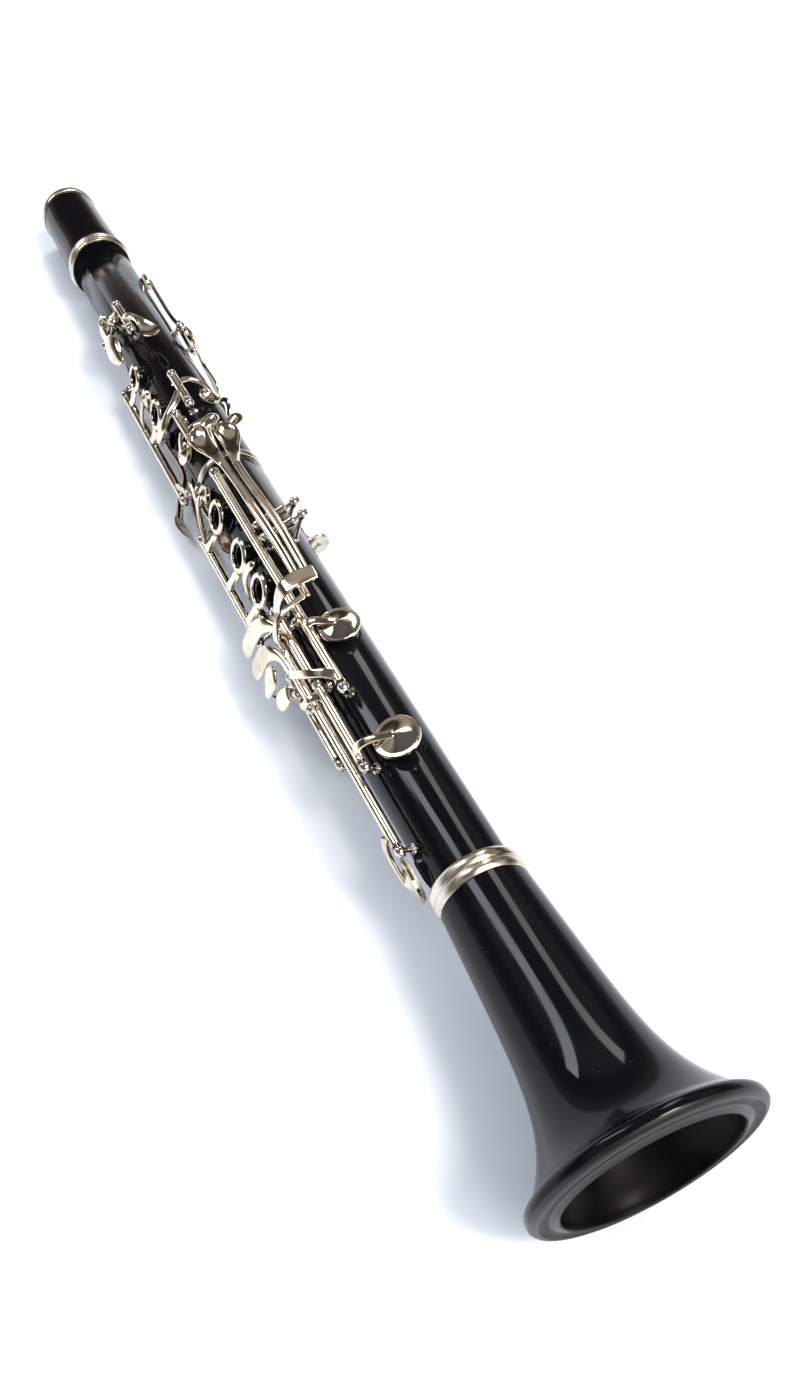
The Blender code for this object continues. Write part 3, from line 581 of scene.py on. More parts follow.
# Places of the finger holes along the bore, then each pad cup's place, angle and radius
FIRST, SECOND, THIRD, FOURTH, FIFTH, SIXTH = 178.0, 210.5, 232.0, 292.0, 319.0, 342.0
REGISTER_CUP, A_CUP, G_SHARP_CUP = (94.0, 150, 4.3), (122.5, -6, 4.2), (134.0, 15, 4.4)
RING_VENT_CUP, E_FLAT_CUP, C_SHARP_CUP = (196.0, -2, 4.3), (221.0, 97, 5.0), (246.5, 8, 5.0)
LOWER_VENT_CUP, SLIVER_CUP, F_SHARP_CUP = (277.0, 4, 4.4), (333.0, -88, 4.4), (385.0, 72, 8.2)
A_FLAT_CUP, F_CUP, E_CUP = (415.0, -78, 7.2), (444.5, 62, 8.6), (485.5, -40, 8.8)
SIDE_CUPS = [(184.0, -85, 3.1), (171.0, -99.5, 3.1), (110.0, -83, 4.0), (97.0, -107, 4.0)]

# Each finger hole's place, angle and radius
FINGER_HOLES = {
    "upper_joint": [(FIRST, 0, 3.3), (SECOND, 0, 3.7), (THIRD, 0, 3.8), (207.0, 180, 3.7)],
    "lower_joint": [(FOURTH, 2, 4.1), (FIFTH, 2, 4.1), (SIXTH, 2, 4.1)],
}
PAD_HOLES = {
    "upper_joint": [REGISTER_CUP, A_CUP, G_SHARP_CUP, RING_VENT_CUP, E_FLAT_CUP, C_SHARP_CUP] + SIDE_CUPS,
    "lower_joint": [LOWER_VENT_CUP, SLIVER_CUP, F_SHARP_CUP, A_FLAT_CUP, F_CUP, E_CUP],
}

# The hole under a pad, as a share of its cup's radius
HOLE_SHARE = 0.55

# The bell's lip: its middle's place and radius, and how far it is rounded. The face and the inside
# start past the neck, and the face looks forward, short of the rim's edge.
LIP_PLACE, LIP_RADIUS, LIP_ROUND = 603.7, 36.4, 2.8
BELL_NECK = 506.0
FACE_FORWARD = 0.35
BELL_RIM = 39.0

# (S, radius) profiles of the metal rings, and the reach of each cork along the bore
BANDS = {
    "barrel_top_ring": [
        (0.0, 13.75), (0.0, 15.0), (0.35, 15.45), (1.1, 15.5), (2.6, 15.45), (3.3, 15.3), (3.5, 15.0),
        (3.5, 13.75)],
    "barrel_lower_ring": [
        (57.9, 15.3), (57.9, 15.9), (58.3, 16.35), (59.3, 16.45), (59.8, 16.25), (60.4, 16.75),
        (61.6, 17.0), (62.8, 16.8), (63.5, 16.2), (64.3, 16.3), (65.0, 15.9), (65.0, 15.3)],
    "middle_joint_ring": [
        (262.3, 13.4), (262.3, 14.9), (262.7, 15.35), (263.6, 15.5), (265.0, 15.4), (265.7, 15.1),
        (265.9, 14.6), (265.9, 13.4)],
    "bell_ring": [
        (497.0, 15.35), (497.0, 16.2), (497.4, 16.8), (498.6, 17.25), (500.0, 17.2), (500.8, 16.8),
        (501.15, 16.35), (501.5, 16.8), (502.3, 17.2), (503.7, 17.15), (504.7, 16.7), (505.3, 16.2),
        (505.3, 15.35)],
}
CORKS = {
    "upper_tenon_cork": (51.0, 63.0),
    "middle_tenon_cork": (264.5, 276.0),
    "lower_tenon_cork": (499.5, 511.0),
}


def drill(made, s, angle, radius):
    """Cuts one tone hole from the outside into the bore."""
    cutter = lathe("cutter", "body", polar(s, 6.0, angle), outward(angle),
        [(0, 0), (0, radius), (12.5, radius), (12.5, 0)], BLACK, 32)
    boolean = made.modifiers.new("hole", "BOOLEAN")
    boolean.operation, boolean.object, boolean.solver = "DIFFERENCE", cutter, "EXACT"
    graph = bpy.context.evaluated_depsgraph_get()
    mesh = bpy.data.meshes.new_from_object(made.evaluated_get(graph))
    made.modifiers.remove(boolean)
    made.data = mesh
    bpy.data.objects.remove(cutter, do_unlink=True)


def tone_holes(made, joint):
    """Drills a joint's holes and adds their chimneys and pad seats."""
    for s, angle, radius in FINGER_HOLES[joint]:
        drill(made, s, angle, radius)
    for s, angle, radius in PAD_HOLES[joint]:
        drill(made, s, angle, radius * HOLE_SHARE)
    made.data.shade_smooth()
    made.data.set_sharp_from_angle(angle=math.radians(30))
    for number, (s, angle, radius) in enumerate(FINGER_HOLES[joint]):
        wall = [(11.5, radius), (16.45, radius), (16.6, radius + 0.25), (16.6, radius + 0.55),
                (16.35, radius + 0.7), (14.9, radius + 0.85), (14.2, radius + 1.7), (13.2, radius + 2.0),
                (11.5, radius + 1.0)]
        name = f"{joint}_finger_chimney_{number + 1}"
        lathe(name, "body", polar(s, 0, angle), outward(angle), wall, BLACK, 48, loop=True, soft=0.12)
    for number, (s, angle, radius) in enumerate(PAD_HOLES[joint]):
        inner = radius * HOLE_SHARE
        wall = [(10.8, inner), (14.35, inner), (14.5, inner + 0.3), (14.35, inner + 0.65),
            (13.9, inner + 1.0), (13.75, radius - 0.6), (13.2, radius + 0.1), (10.8, radius + 0.1)]
        name = f"{joint}_pad_seat_{number + 1}"
        lathe(name, "body", polar(s, 0, angle), outward(angle), wall, BLACK, 48, loop=True, soft=0.2)


def flare(start, end, steps, radius, taper, bloom, power):
    """(S, radius) points of a bell's curve: a straight taper, and a bloom towards its end."""
    parts = [step / steps for step in range(steps + 1)]
    return [(start + (end - start) * part, radius + taper * part + bloom * part ** power) for part in parts]


def rub_dull(bell):
    """Gives the bell's face the satin plastic and its inside the dull one."""
    bell.data.materials.append(SATIN)
    bell.data.materials.append(INSIDE)
    to_instrument = WORLD.inverted()
    turn = WORLD.to_quaternion().inverted()
    for polygon in bell.data.polygons:
        place = to_instrument @ polygon.center
        facing = turn @ polygon.normal
        if place.x <= BELL_NECK:
            continue
        if facing.y * place.y + facing.z * place.z < 0:
            polygon.material_index = 2
        elif facing.x > FACE_FORWARD and math.hypot(place.y, place.z) < BELL_RIM:
            polygon.material_index = 1


def turned(name, profile, material, node, sides=TUBE_SIDES, **more):
    """A piece turned on the bore's own axis, which stands for a CAD node."""
    return lathe(name, "body", ORIGIN, AXIS, profile, material, sides, loop=True, node=node, **more)


def black_tube():
    """Barrel, joints and bell with their rings and corks."""
    barrel = [(0.25, 13.55), (3.75, 13.55), (3.8, 14.75), (5.5, 14.85), (20, 14.95), (34, 15.15),
        (46, 15.45), (56.9, 15.95), (57.5, 15.6), (57.6, 15.05), (65.0, 15.05), (65.0, SOCKET),
        (48.5, SOCKET), (48.5, BORE), (16.5, BORE), (16.5, SOCKET), (0.25, SOCKET)]
    turned("barrel_body", barrel, BLACK, "barrel", soft=0.4)
    upper = [(277.5, TENON), (262.0, TENON), (262.0, 13.9), (261.4, BODY), (66.0, BODY), (65.3, 13.9),
        (65.3, TENON), (49.5, TENON), (49.5, BORE), (277.5, BORE)]
    lower = [(512.5, TENON), (496.7, TENON), (496.7, 13.9), (496.1, BODY), (267.0, BODY), (266.2, 14.0),
             (266.2, 13.15), (262.3, 13.15), (262.3, SOCKET), (278.5, SOCKET), (278.5, BORE), (512.5, BORE)]
    for joint, profile in (("upper_joint", upper), ("lower_joint", lower)):
        tone_holes(turned(f"{joint}_body", profile, BLACK, joint), joint)
    outer = flare(505.6, 600.9, 40, 16.3, 5.9, 14.1, 6.5)
    inner = flare(513.5, 604.2, 24, 10.6, 8.0, 10.8, 6.0)[::-1]
    turns = [math.radians(degrees) for degrees in range(64, -91, -11)]
    lip = [(LIP_PLACE - LIP_ROUND * math.sin(turn), LIP_RADIUS + LIP_ROUND * math.cos(turn))
           for turn in turns]
    face = [(606.3, 35.2), (606.2, 33.0), (606.9, 31.2), (607.3, 30.4), (607.0, 29.8), (606.0, 29.5)]
    socket = [(513.5, SOCKET), (497.0, SOCKET), (497.0, 15.05), (505.6, 15.05)]
    rub_dull(turned("bell_body", socket + outer + lip + face + inner, BLACK, "bell", BELL_SIDES, sharp=40))
    for name, profile in BANDS.items():
        turned(f"{name}_band", profile, RING, name, soft=0.18, sharp=55)
    for name, (low, high) in CORKS.items():
        wrap = [(low, TENON + 0.25), (low, 11.4), (low + 0.4, 11.6), (high - 0.4, 11.6), (high, 11.4),
                (high, TENON + 0.25)]
        turned(f"{name}_wrap", wrap, CORK, name, CORK_SIDES)


def thumb_rest():
    """The foot plate with two screws, the stem and the round rest."""
    s = 306.5
    loft("thumb_rest_foot", "body", [((s - 11, 15.1, 180), 7, 1.2, 0.3), ((s, 15.2, 180), 9.6, 1.5, 0.4),
            ((s + 11, 15.1, 180), 7, 1.2, 0.3)], RING, power=4.0, blunt=(0.8, 0.8), node="thumb_rest")
    arm("thumb_rest_stem", "body", [(s + 1, 15.6, 180), (s + 4, 18.5, 180), (s + 5.2, 22, 179)],
        [7.0, 5.5, 6.5], 2.4, (0.0, 0.0), material=RING)
    lathe("thumb_rest_disc", "body", polar(s + 5.5, 22.4, 178), AXIS,
        [(-1.1, 0), (-1.1, 3.6), (-0.6, 4.6), (0.7, 4.6), (1.1, 3.9), (0.8, 2.6), (0.65, 0)], RING, 48,
        soft=0.3)
    screw("thumb_rest_set_screw", "body", polar(s + 6.2, 22.4, 178), AXIS, 0.9)
    for number, place in enumerate((s - 7, s + 8.5)):
        screw(f"thumb_rest_screw_{number + 1}", "body", polar(place, 15.8, 180), outward(180), 1.5)


# ---------------- upper joint keys


def register_key():
    """The thumb's octave key, with its touch at the back."""
    s, line, body = 157.0, (143, 17.9), "register_key"
    cross_hinge("register_key_hinge", s, line, (-7.4, 7.4), 2.1)
    cross_tube(body, s, line, (-4.8, 4.8))
    arm("register_key_lever", body, [apex(REGISTER_CUP), (112, 17.6, 151), (135, 17.5, 150),
            (150, 20.0, 144.5), (158, 20.6, 144.5), (170, 18.8, 150), (180, 18.0, 154)],
        [2.4, 2.6, 3.0, 3.6, 4.2, 3.6, 3.4], 1.9, (0.8, 0.0))
    loft("register_key_touch", body, [((178, 18.1, 153.5), 3.4, 1.8), ((184, 17.9, 156), 6.4, 1.5, 0.3),
            ((192, 17.9, 159), 8.2, 1.4, 0.5), ((198, 17.9, 162), 7.2, 1.3, 0.4)], blunt=(0.0, 1.1))
    cup("register_key_cup", body, REGISTER_CUP)


def throat_keys():
    """The A key on an axle across the bore, and the G sharp key beside it."""
    s, line, body = 142.0, (10, 19.6), "throat_a_key"
    cross_hinge("throat_a_hinge", s, line, (-6.8, 5.6), 2.1)
    cross_tube(body, s, line, (-4.3, 3.1))
    arm("throat_a_arm", body, [apex(A_CUP), (130, 19.9, 0), (137, 21.7, 5.5), (142, 22.3, 7),
            (150, 22.6, 8)], [2.2, 2.8, 3.4, 4.6, 5.0], 1.9, (0.8, 0.0))
    loft("throat_a_touch", body, [((148.5, 22.5, 8), 5.4, 1.9, 0.4), ((152.5, 22.7, 8.5), 8.8, 1.9, 1.0),
            ((159, 22.9, 9), 11.0, 1.9, 1.3), ((166, 22.6, 9.5), 8.6, 1.7, 0.9),
            ((171, 22.0, 10), 3.6, 1.4, 0.3)], blunt=(0.4, 1.0), around=28)
    cup("throat_a_cup", body, A_CUP, node="throat_a_pad")

    line, body = (42, 19.6), "throat_g_sharp_key"
    along_hinge("throat_g_sharp_hinge", line, (132.5, 157.0), 2.2)
    along_tube(body, line, 135.2, 154.4)
    loft("throat_g_sharp_finger", body, [((147.5, 21.4, 44), 3.4, 1.8), ((151.5, 22.6, 50), 3.4, 1.7),
            ((155.5, 22.2, 55.5), 3.6, 1.4, 0.0, 0.1), ((160, 21.2, 60), 5.6, 1.3, -0.5, 0.3),
            ((166, 20.9, 63), 8.6, 1.3, -0.9, 0.4), ((173, 21.5, 64), 8.4, 1.2, -0.7, 0.3)],
        blunt=(0.0, 1.1), around=28, samples=44)
    arm("throat_g_sharp_arm", body, [(139, 20.4, 36), (137, 19.6, 28), apex(G_SHARP_CUP)],
        [3.4, 2.6, 2.2], 1.6)
    cup("throat_g_sharp_cup", body, G_SHARP_CUP, node="throat_g_sharp_pad")


def thumb_ring():
    """The ring round the thumb hole at the back."""
    line, body = (-143, 19.5), "thumb_ring_key"
    swing = opened(line, OPEN["thumb_ring"])
    along_hinge("thumb_ring_hinge", line, (191, 219))
    along_tube(body, line, 193.7, 216.3)
    finger_ring("thumb_ring_band", body, 207, 180, 7.2, swing)
    arm("thumb_ring_arm", body, [(206, 20.2, -148), (206.5, 18.6, -155), swing @ polar(207, 16.4, -162)],
        [7.0, 5.5, 7.0], 1.6, (0.0, 0.3))


def ring_arm(name, body, line, s, outer, swing):
    """A broad arm from a hinge tube into the skirt of a finger ring."""
    edge = swing @ flat(s, 16.1, 0.6 - outer)
    under = swing @ flat(s, 15.9, -outer - 2.2)
    arm(name, body, [(s, line[1] + 0.6, line[0] + 2), (s, line[1] - 1.2, line[0] + 5.5), under, edge],
        [8.5, 6.0, 5.4, 8.2], 1.7, (0.2, 0.3))


def upper_rings():
    """The first two finger rings, the cup between them and the bridge to the lower joint."""
    line = (-44, 22.4)
    swing = opened(line, OPEN["upper_rings"])
    along_hinge("upper_ring_hinge", line, (166.5, 256))
    body = "first_ring_key"
    along_tube(body, line, 169.2, 199.6)
    finger_ring("first_ring_band", body, FIRST, 0, 6.2, swing)
    ring_arm("first_ring_arm", body, line, FIRST, 6.2, swing)
    arm("ring_vent_arm", body, [(195, 21.6, -39), (195.5, 20.4, -28), (196, 19.3, -14),
            apex(RING_VENT_CUP, swing)], [4.6, 3.4, 3.0, 2.4], 1.6)
    cup("ring_vent_cup", body, RING_VENT_CUP, swing=swing, node="ring_vent_pad")
    body = "second_ring_key"
    along_tube(body, line, 200.0, 253.3)
    finger_ring("second_ring_band", body, SECOND, 0, 6.9, swing)
    ring_arm("second_ring_arm", body, line, SECOND, 6.9, swing)
    arm("second_ring_bridge", body, [(249, 22.0, -39), (253, 21.3, -31), (258, 20.7, -26),
            (263, 20.6, -22.5)], [5.2, 4.0, 3.4, 4.6], 1.6, (0.0, 0.8))


def e_flat_key():
    """The left-side cup with a blade that crosses between the fingers."""
    line, body = (57.5, 19.8), "e_flat_key"
    along_hinge("e_flat_hinge", line, (204.0, 229.0), 2.2)
    along_tube(body, line, 206.6, 226.4)
    arm("e_flat_arm", body, [(213.5, 21.2, 63), (214.5, 21.0, 74), (217.5, 20.0, 88), apex(E_FLAT_CUP)],
        [4.2, 3.2, 3.0, 2.4], 1.7)
    cup("e_flat_cup", body, E_FLAT_CUP)
    loft("e_flat_blade", body, [((219.5, 20.9, 54), 4.4, 1.8), ((224.0, 20.8, 42), 5.0, 1.7, 0.3),
            ((227.0, 20.9, 26), 5.6, 1.6, 0.5), ((228.2, 21.0, 9), 5.6, 1.5, 0.6),
            ((226.4, 20.9, -7), 4.8, 1.4, 0.5), ((222.8, 20.3, -18), 2.4, 1.2, 0.2)], blunt=(0.0, 1.2),
        around=24, samples=44)


def c_sharp_key():
    """The cup by the joint, with two ears for the little finger."""
    line, body = (35, 19.6), "c_sharp_key"
    along_hinge("c_sharp_hinge", line, (229.5, 251.0), 2.2, first_head=False)
    along_tube(body, line, 232.1, 248.4)
    arm("c_sharp_arm", body, [(243.5, 20.6, 30), (245, 19.8, 21), apex(C_SHARP_CUP)], [3.6, 2.8, 2.2],
        1.6)
    cup("c_sharp_cup", body, C_SHARP_CUP)
    arm("c_sharp_finger", body, [(246.5, 21.3, 40), (247.5, 22.4, 50), (248.8, 22.6, 62)],
        [4.0, 3.4, 4.6], 1.7)
    loft("c_sharp_bridge", body, [((251.5, 22.4, 58), 4.4, 1.5), ((254.5, 22.4, 70), 4.2, 1.5),
            ((256.0, 22.6, 82), 4.8, 1.5)], blunt=(0.6, 0.6), around=20)
    loft("c_sharp_ear_1", body, [((253.6, 22.4, 51), 3.6, 1.6, 0.3), ((251.4, 22.8, 60), 6.2, 1.7, 0.9),
            ((249.0, 22.9, 69), 6.6, 1.7, 1.0), ((247.4, 22.3, 77), 5.0, 1.5, 0.6)], blunt=(0.6, 1.1),
        around=26)
    loft("c_sharp_ear_2", body, [((257.2, 22.8, 80), 3.8, 1.6, 0.3), ((254.2, 23.5, 89), 6.0, 1.7, 0.9),
            ((251.2, 23.7, 97), 6.4, 1.7, 1.0), ((248.6, 23.2, 105), 4.8, 1.5, 0.6)], blunt=(0.6, 1.1),
        around=26)


# The side keys' two axles lie across the bore: their normal and height, then their places
SIDE_LINE = (-95, 16.9)
SIDE_AXLES = {"lower": 203.0, "upper": 157.0}

# Each side key's axle, the ends of its tube across the bore, the lane of its lever, and the
# bend and the touch of the lever as (S, radius, angle)
SIDE_KEYS = [
    ("lower", (0.3, 4.1), 2.0, (246, 24.2, -73), (277.0, 27.6, -69)),
    ("lower", (-4.1, -0.3), -2.0, (246, 23.6, -82), (277.0, 25.0, -87)),
    ("upper", (0.3, 8.0), 6.4, (242, 27.0, -64), (259.0, 32.4, -61)),
    ("upper", (-8.0, -0.3), -6.4, (244, 23.4, -98), (259.0, 24.0, -100)),
]


def side_point(s, height, lateral):
    return flat(s, *across(SIDE_LINE[0], height, lateral))


def side_keys():
    """Four levers down the right side to the touches by the first finger."""
    for name, s in SIDE_AXLES.items():
        cross_hinge(f"side_key_{name}_hinge", s, SIDE_LINE, (-11.4, 11.4))
    for number, (axle, ends, lane, bend, touch) in enumerate(SIDE_KEYS):
        s, body = SIDE_AXLES[axle], f"side_key_{number + 1}"
        touch_s, touch_radius, touch_angle = touch
        cross_tube(body, s, SIDE_LINE, ends)
        path = [
            apex(SIDE_CUPS[number], lift=1.9), side_point(s - 8, 19.5, lane), side_point(s + 8, 19.6, lane),
            side_point(max(s + 16, 199), 21.3, lane), side_point(226, 21.4, lane), bend,
            (touch_s - 6, touch_radius - 0.7, touch_angle),
        ]
        widths = [2.2, 2.8, 3.2, 3.0, 3.0, 3.2, 4.4]
        arm(f"{body}_lever", body, path, widths, 1.9, (0.8, 0.0), samples=60, around=16)
        stations = [
            ((touch_s - 7.4, touch_radius - 0.6, touch_angle), 4.6, 1.6),
            ((touch_s - 4, touch_radius - 0.2, touch_angle), 7.2, 1.5, 0.3),
            (touch, 8.2, 1.5, 0.4),
            ((touch_s + 7.5, touch_radius - 0.3, touch_angle), 6.8, 1.4, 0.3),
        ]
        loft(f"{body}_touch", body, stations, blunt=(0.0, 1.1), around=24)
        cup(f"{body}_cup", body, SIDE_CUPS[number], 1.1)


# ---------------- lower joint keys


def lower_rings():
    """The three rings of the right hand with their cup and bridge."""
    line, body = (-45, 24.2), "lower_ring_key"
    swing = opened(line, OPEN["lower_rings"])
    along_hinge("lower_ring_hinge", line, (283, 353))
    along_tube(body, line, 285.7, 350.3)
    for number, s in enumerate((FOURTH, FIFTH, SIXTH)):
        finger_ring(f"lower_ring_band_{number + 1}", body, s, 2, 7.3, swing, 2.3)
        ring_arm(f"lower_ring_arm_{number + 1}", body, line, s, 6.9, swing)
    loft("lower_vent_arm", body, [((288, 23.6, -41), 5.4, 1.7), ((284, 22.2, -33), 4.6, 1.7),
            ((280, 20.8, -20), 4.4, 1.6), ((277.6, 20.1, -8), 5.2, 1.5),
            (apex(LOWER_VENT_CUP, swing), 2.2, 1.2)], blunt=(0.0, 0.8))
    loft("bridge_lever", body, [((288.5, 22.8, -38), 5.0, 1.8), ((281, 20.6, -28), 4.6, 1.8),
            ((271, 18.8, -19), 4.4, 1.7), ((260, 18.2, -13.5), 5.6, 1.5)], blunt=(0.0, 0.9))
    cup("lower_vent_cup", body, LOWER_VENT_CUP, swing=swing, node="lower_vent_pad")


def sliver_key():
    """The cross key between the first two holes of the right hand."""
    line, body = (-66, 20.2), "sliver_key"
    along_hinge("sliver_hinge", line, (319, 347), 2.1)
    along_tube(body, line, 321.4, 344.6)
    arm("sliver_arm", body, [(333, 20.6, -72), (333, 19.6, -80), apex(SLIVER_CUP)], [3.6, 2.8, 2.2], 1.6)
    cup("sliver_cup", body, SLIVER_CUP)
    loft("sliver_blade", body, [((332, 20.8, -60), 5.4, 1.6), ((331, 18.9, -46), 4.2, 1.5),
            ((330.5, 18.3, -28), 3.8, 1.5), ((330.5, 18.6, -8), 3.8, 1.5, 0.2),
            ((331.5, 19.3, 10), 4.2, 1.4, 0.3), ((334, 19.6, 24), 3.2, 1.3, 0.2)], blunt=(0.0, 1.2),
        around=24, samples=44)


# The left-hand levers' axles lie across the bore, square to this angle at this height
LEVER_LINE = (52, 21.4)

# Each lever's place of its axle, then its path as (S, radius, angle) from the spoon down
LEVERS = {
    "lh_e_lever": (320.5, [(264.5, 26.1, 48.5), (283, 25.8, 53), (300, 26.2, 55), (320.5, 26.4, 56),
                           (345, 23.9, 57.5), (369.5, 21.9, 55.5)]),
    "lh_f_sharp_lever": (329.0, [(268.5, 26.2, 71.5), (286, 25.9, 64), (300, 26.6, 64), (329, 27.2, 66.5),
                                 (347, 25.9, 66.5), (365, 24.3, 66)]),
}


def left_hand_levers():
    """Two levers on short axles, each with a hollowed spoon for the little finger."""
    for body, (s, path) in LEVERS.items():
        cross_hinge(f"{body}_hinge", s, LEVER_LINE, (-0.4, 16.8), 2.0)
        start, end = (flat(s, *across(*LEVER_LINE, side)) for side in (1.9, 12.6))
        tube(body, start, end)
        touch_s, touch_r, touch_a = path[0]
        near_s, near_r, near_a = path[1]
        loft(f"{body}_spoon", body, [((touch_s - 9.6, touch_r + 0.5, touch_a), 8.2, 1.5, 0.0, 1.1),
                ((touch_s - 5.0, touch_r + 0.2, touch_a), 10.4, 1.6, 0.0, 1.7),
                ((touch_s + 0.5, touch_r, touch_a), 9.8, 1.7, 0.0, 1.7),
                ((touch_s + 6.0, touch_r - 0.1, touch_a * 0.7 + near_a * 0.3), 7.4, 2.0, 0.0, 1.2),
                ((touch_s + 11.5, touch_r - 0.2, touch_a * 0.4 + near_a * 0.6), 5.2, 2.4, 0.0, 0.5),
                ((near_s - 1.0, near_r, touch_a * 0.1 + near_a * 0.9), 3.6, 2.6, 0.0, 0.0),
                ((near_s + 1.0, near_r, near_a), 3.3, 2.5)], samples=64, around=40, power=3.2,
            blunt=(1.0, 0.0))
        arm(f"{body}_bar", body, path[1:], [3.3, 3.3, 3.6, 3.3, 3.0], 2.5, (0.0, 0.5), samples=60, around=20)
        crossing = polar(*path[3])
        foot = start + (crossing - start).project(end - start)
        length = (crossing - foot).length
        profile = [(0, 0), (0, 2.2), (1.6, 2.0), (length, 1.5), (length, 0)]
        lathe(f"{body}_saddle", body, foot, (crossing - foot).normalized(), profile, NICKEL, 24, soft=0.4)


# Angle and radius of the long axles of the right-hand keys
F_SHARP_LINE, RIGHT_LINE, E_LINE, F_LINE = (39.0, 19.6), (15.0, 20.2), (-1.5, 20.4), (-20.0, 19.8)


def paddle(body, root, points, widths, dish=0.5):
    """A little-finger touch: a rounded paddle that faces the front."""
    stations = [(root, 4.2, 2.2, 0.2, 0.0, 0)]
    stations += [(point, width, 1.6, dish, 0.0, 0) for point, width in zip(points, widths)]
    loft(f"{body}_paddle", body, stations, samples=48, around=28, power=3.0, blunt=(0.0, 1.15))


def f_sharp_keys():
    """The F sharp cup on its long axle, and the paddle with the plate that works it."""
    body = "f_sharp_key"
    swing = opened(F_SHARP_LINE, OPEN["f_sharp"])
    along_hinge("f_sharp_hinge", F_SHARP_LINE, (277, 413.5))
    along_tube(body, F_SHARP_LINE, 279.7, 410.8)
    arm("f_sharp_arm", body, [(379.5, 21.2, 42), (381, 21.6, 50), (383.5, 20.8, 60),
            apex(F_SHARP_CUP, swing, 2.6)], [4.6, 3.4, 3.2, 3.4], 1.9)
    arm("f_sharp_lug", body, [(376, 21.0, 36), (375, 21.4, 32.5), (374, 21.4, 28.5)], [4.4, 3.4, 3.6],
        1.5)
    arm("f_sharp_bracket", body, [(407, 21.6, 38), (405, 23.6, 31), (401, 24.5, 20), (395.5, 24.5, 8),
            (391.5, 24.3, 1)], [4.6, 3.6, 3.4, 3.4, 4.0], 1.7, (0.0, 0.5), power=4.0)
    cup("f_sharp_cup", body, F_SHARP_CUP, 2.1, swing, "f_sharp_pad")

    body = "rh_f_sharp_key"
    along_tube(body, RIGHT_LINE, 364.7, 401.3)
    paddle(body, (377, 22.9, 14.5), [(370, 23.9, 12), flat(364.6, 25.3, 1.5), flat(361.0, 25.6, -4.5),
            flat(358.4, 24.9, -11.5), flat(356.4, 24.3, -17.0), flat(355.2, 23.6, -20.8)],
        [4.4, 6.4, 8.8, 9.6, 9.0, 6.6])
    arm("rh_f_sharp_yoke", body, [(367, 21.6, 18), (365.8, 23.6, 25), (364.6, 26.4, 35),
            (364.2, 28.1, 44), (364.2, 28.3, 57), (364.4, 28.2, 71)], [4.6, 4.2, 5.4, 7.6, 7.8, 7.2], 1.1,
        (0.0, 0.15), power=6.0)
    arm("rh_f_sharp_lifter", body, [(374, 20.2, 19), (374, 19.6, 27.5)], [3.4, 3.0], 1.4)


def f_keys():
    """The F cup, and the paddle that works it."""
    body = "f_key"
    swing = opened(RIGHT_LINE, OPEN["f"])
    along_hinge("f_hinge", RIGHT_LINE, (362, 404, 446.5), 2.2)
    along_tube(body, RIGHT_LINE, 406.7, 443.8)
    arm("f_arm", body, [(439.5, 22.0, 18), (440.5, 22.6, 28), (442, 22.4, 40), apex(F_CUP, swing, 2.7)],
        [4.8, 3.6, 3.2, 3.6], 1.9)
    arm("f_lug", body, [(409, 22.0, 12.5), (408.5, 24.6, 6), (407.5, 25.1, -5)], [4.2, 3.2, 3.4], 1.4)
    cup("f_cup", body, F_CUP, 2.3, swing, "f_pad")

    body = "rh_f_key"
    along_hinge("rh_f_hinge", F_LINE, (385.5, 404), 2.0)
    along_tube(body, F_LINE, 388.0, 401.5)
    arm("rh_f_lifter", body, [(400, 21.4, -19), (403, 23.5, -13), (407.5, 23.3, -5)], [4.0, 3.0, 3.2],
        1.3)
    paddle(body, (395, 21.6, -20.5), [flat(394.5, 23.6, -6.5), flat(393, 24.2, -9.5),
            flat(391, 24.1, -13.5), flat(389.6, 23.8, -17.8)], [5.6, 8.2, 8.8, 7.0])


def e_key():
    """The lowest cup, near the bell, with its paddle and yoke."""
    body = "e_key"
    swing = opened(E_LINE, OPEN["e"])
    along_hinge("e_hinge", E_LINE, (372.5, 480.5), 2.0)
    along_tube(body, E_LINE, 374.9, 478.1)
    arm("e_arm", body, [(473.5, 22.2, -4), (475.5, 22.4, -12), (479.5, 21.4, -24),
            apex(E_CUP, swing, 2.7)], [5.0, 4.2, 3.6, 3.6], 1.9)
    cup("e_cup", body, E_CUP, 2.3, swing, "e_pad")
    paddle(body, (390, 22.9, -1.5), [(381, 23.6, -2), flat(375.4, 25.0, -3.5), flat(372.2, 25.5, -7.5),
            flat(369.8, 24.9, -13.5), flat(367.6, 24.3, -18.8), flat(366.4, 23.7, -22.0)],
        [4.2, 6.0, 8.8, 9.6, 9.0, 6.8])
    arm("e_yoke", body, [(378, 22.2, 1), (376, 25.0, 10), (374, 26.8, 21), (372.4, 26.5, 34),
            (370.9, 25.3, 54)], [4.6, 3.6, 3.2, 2.8, 2.8], 1.2, (0.0, 0.5), power=4.0)


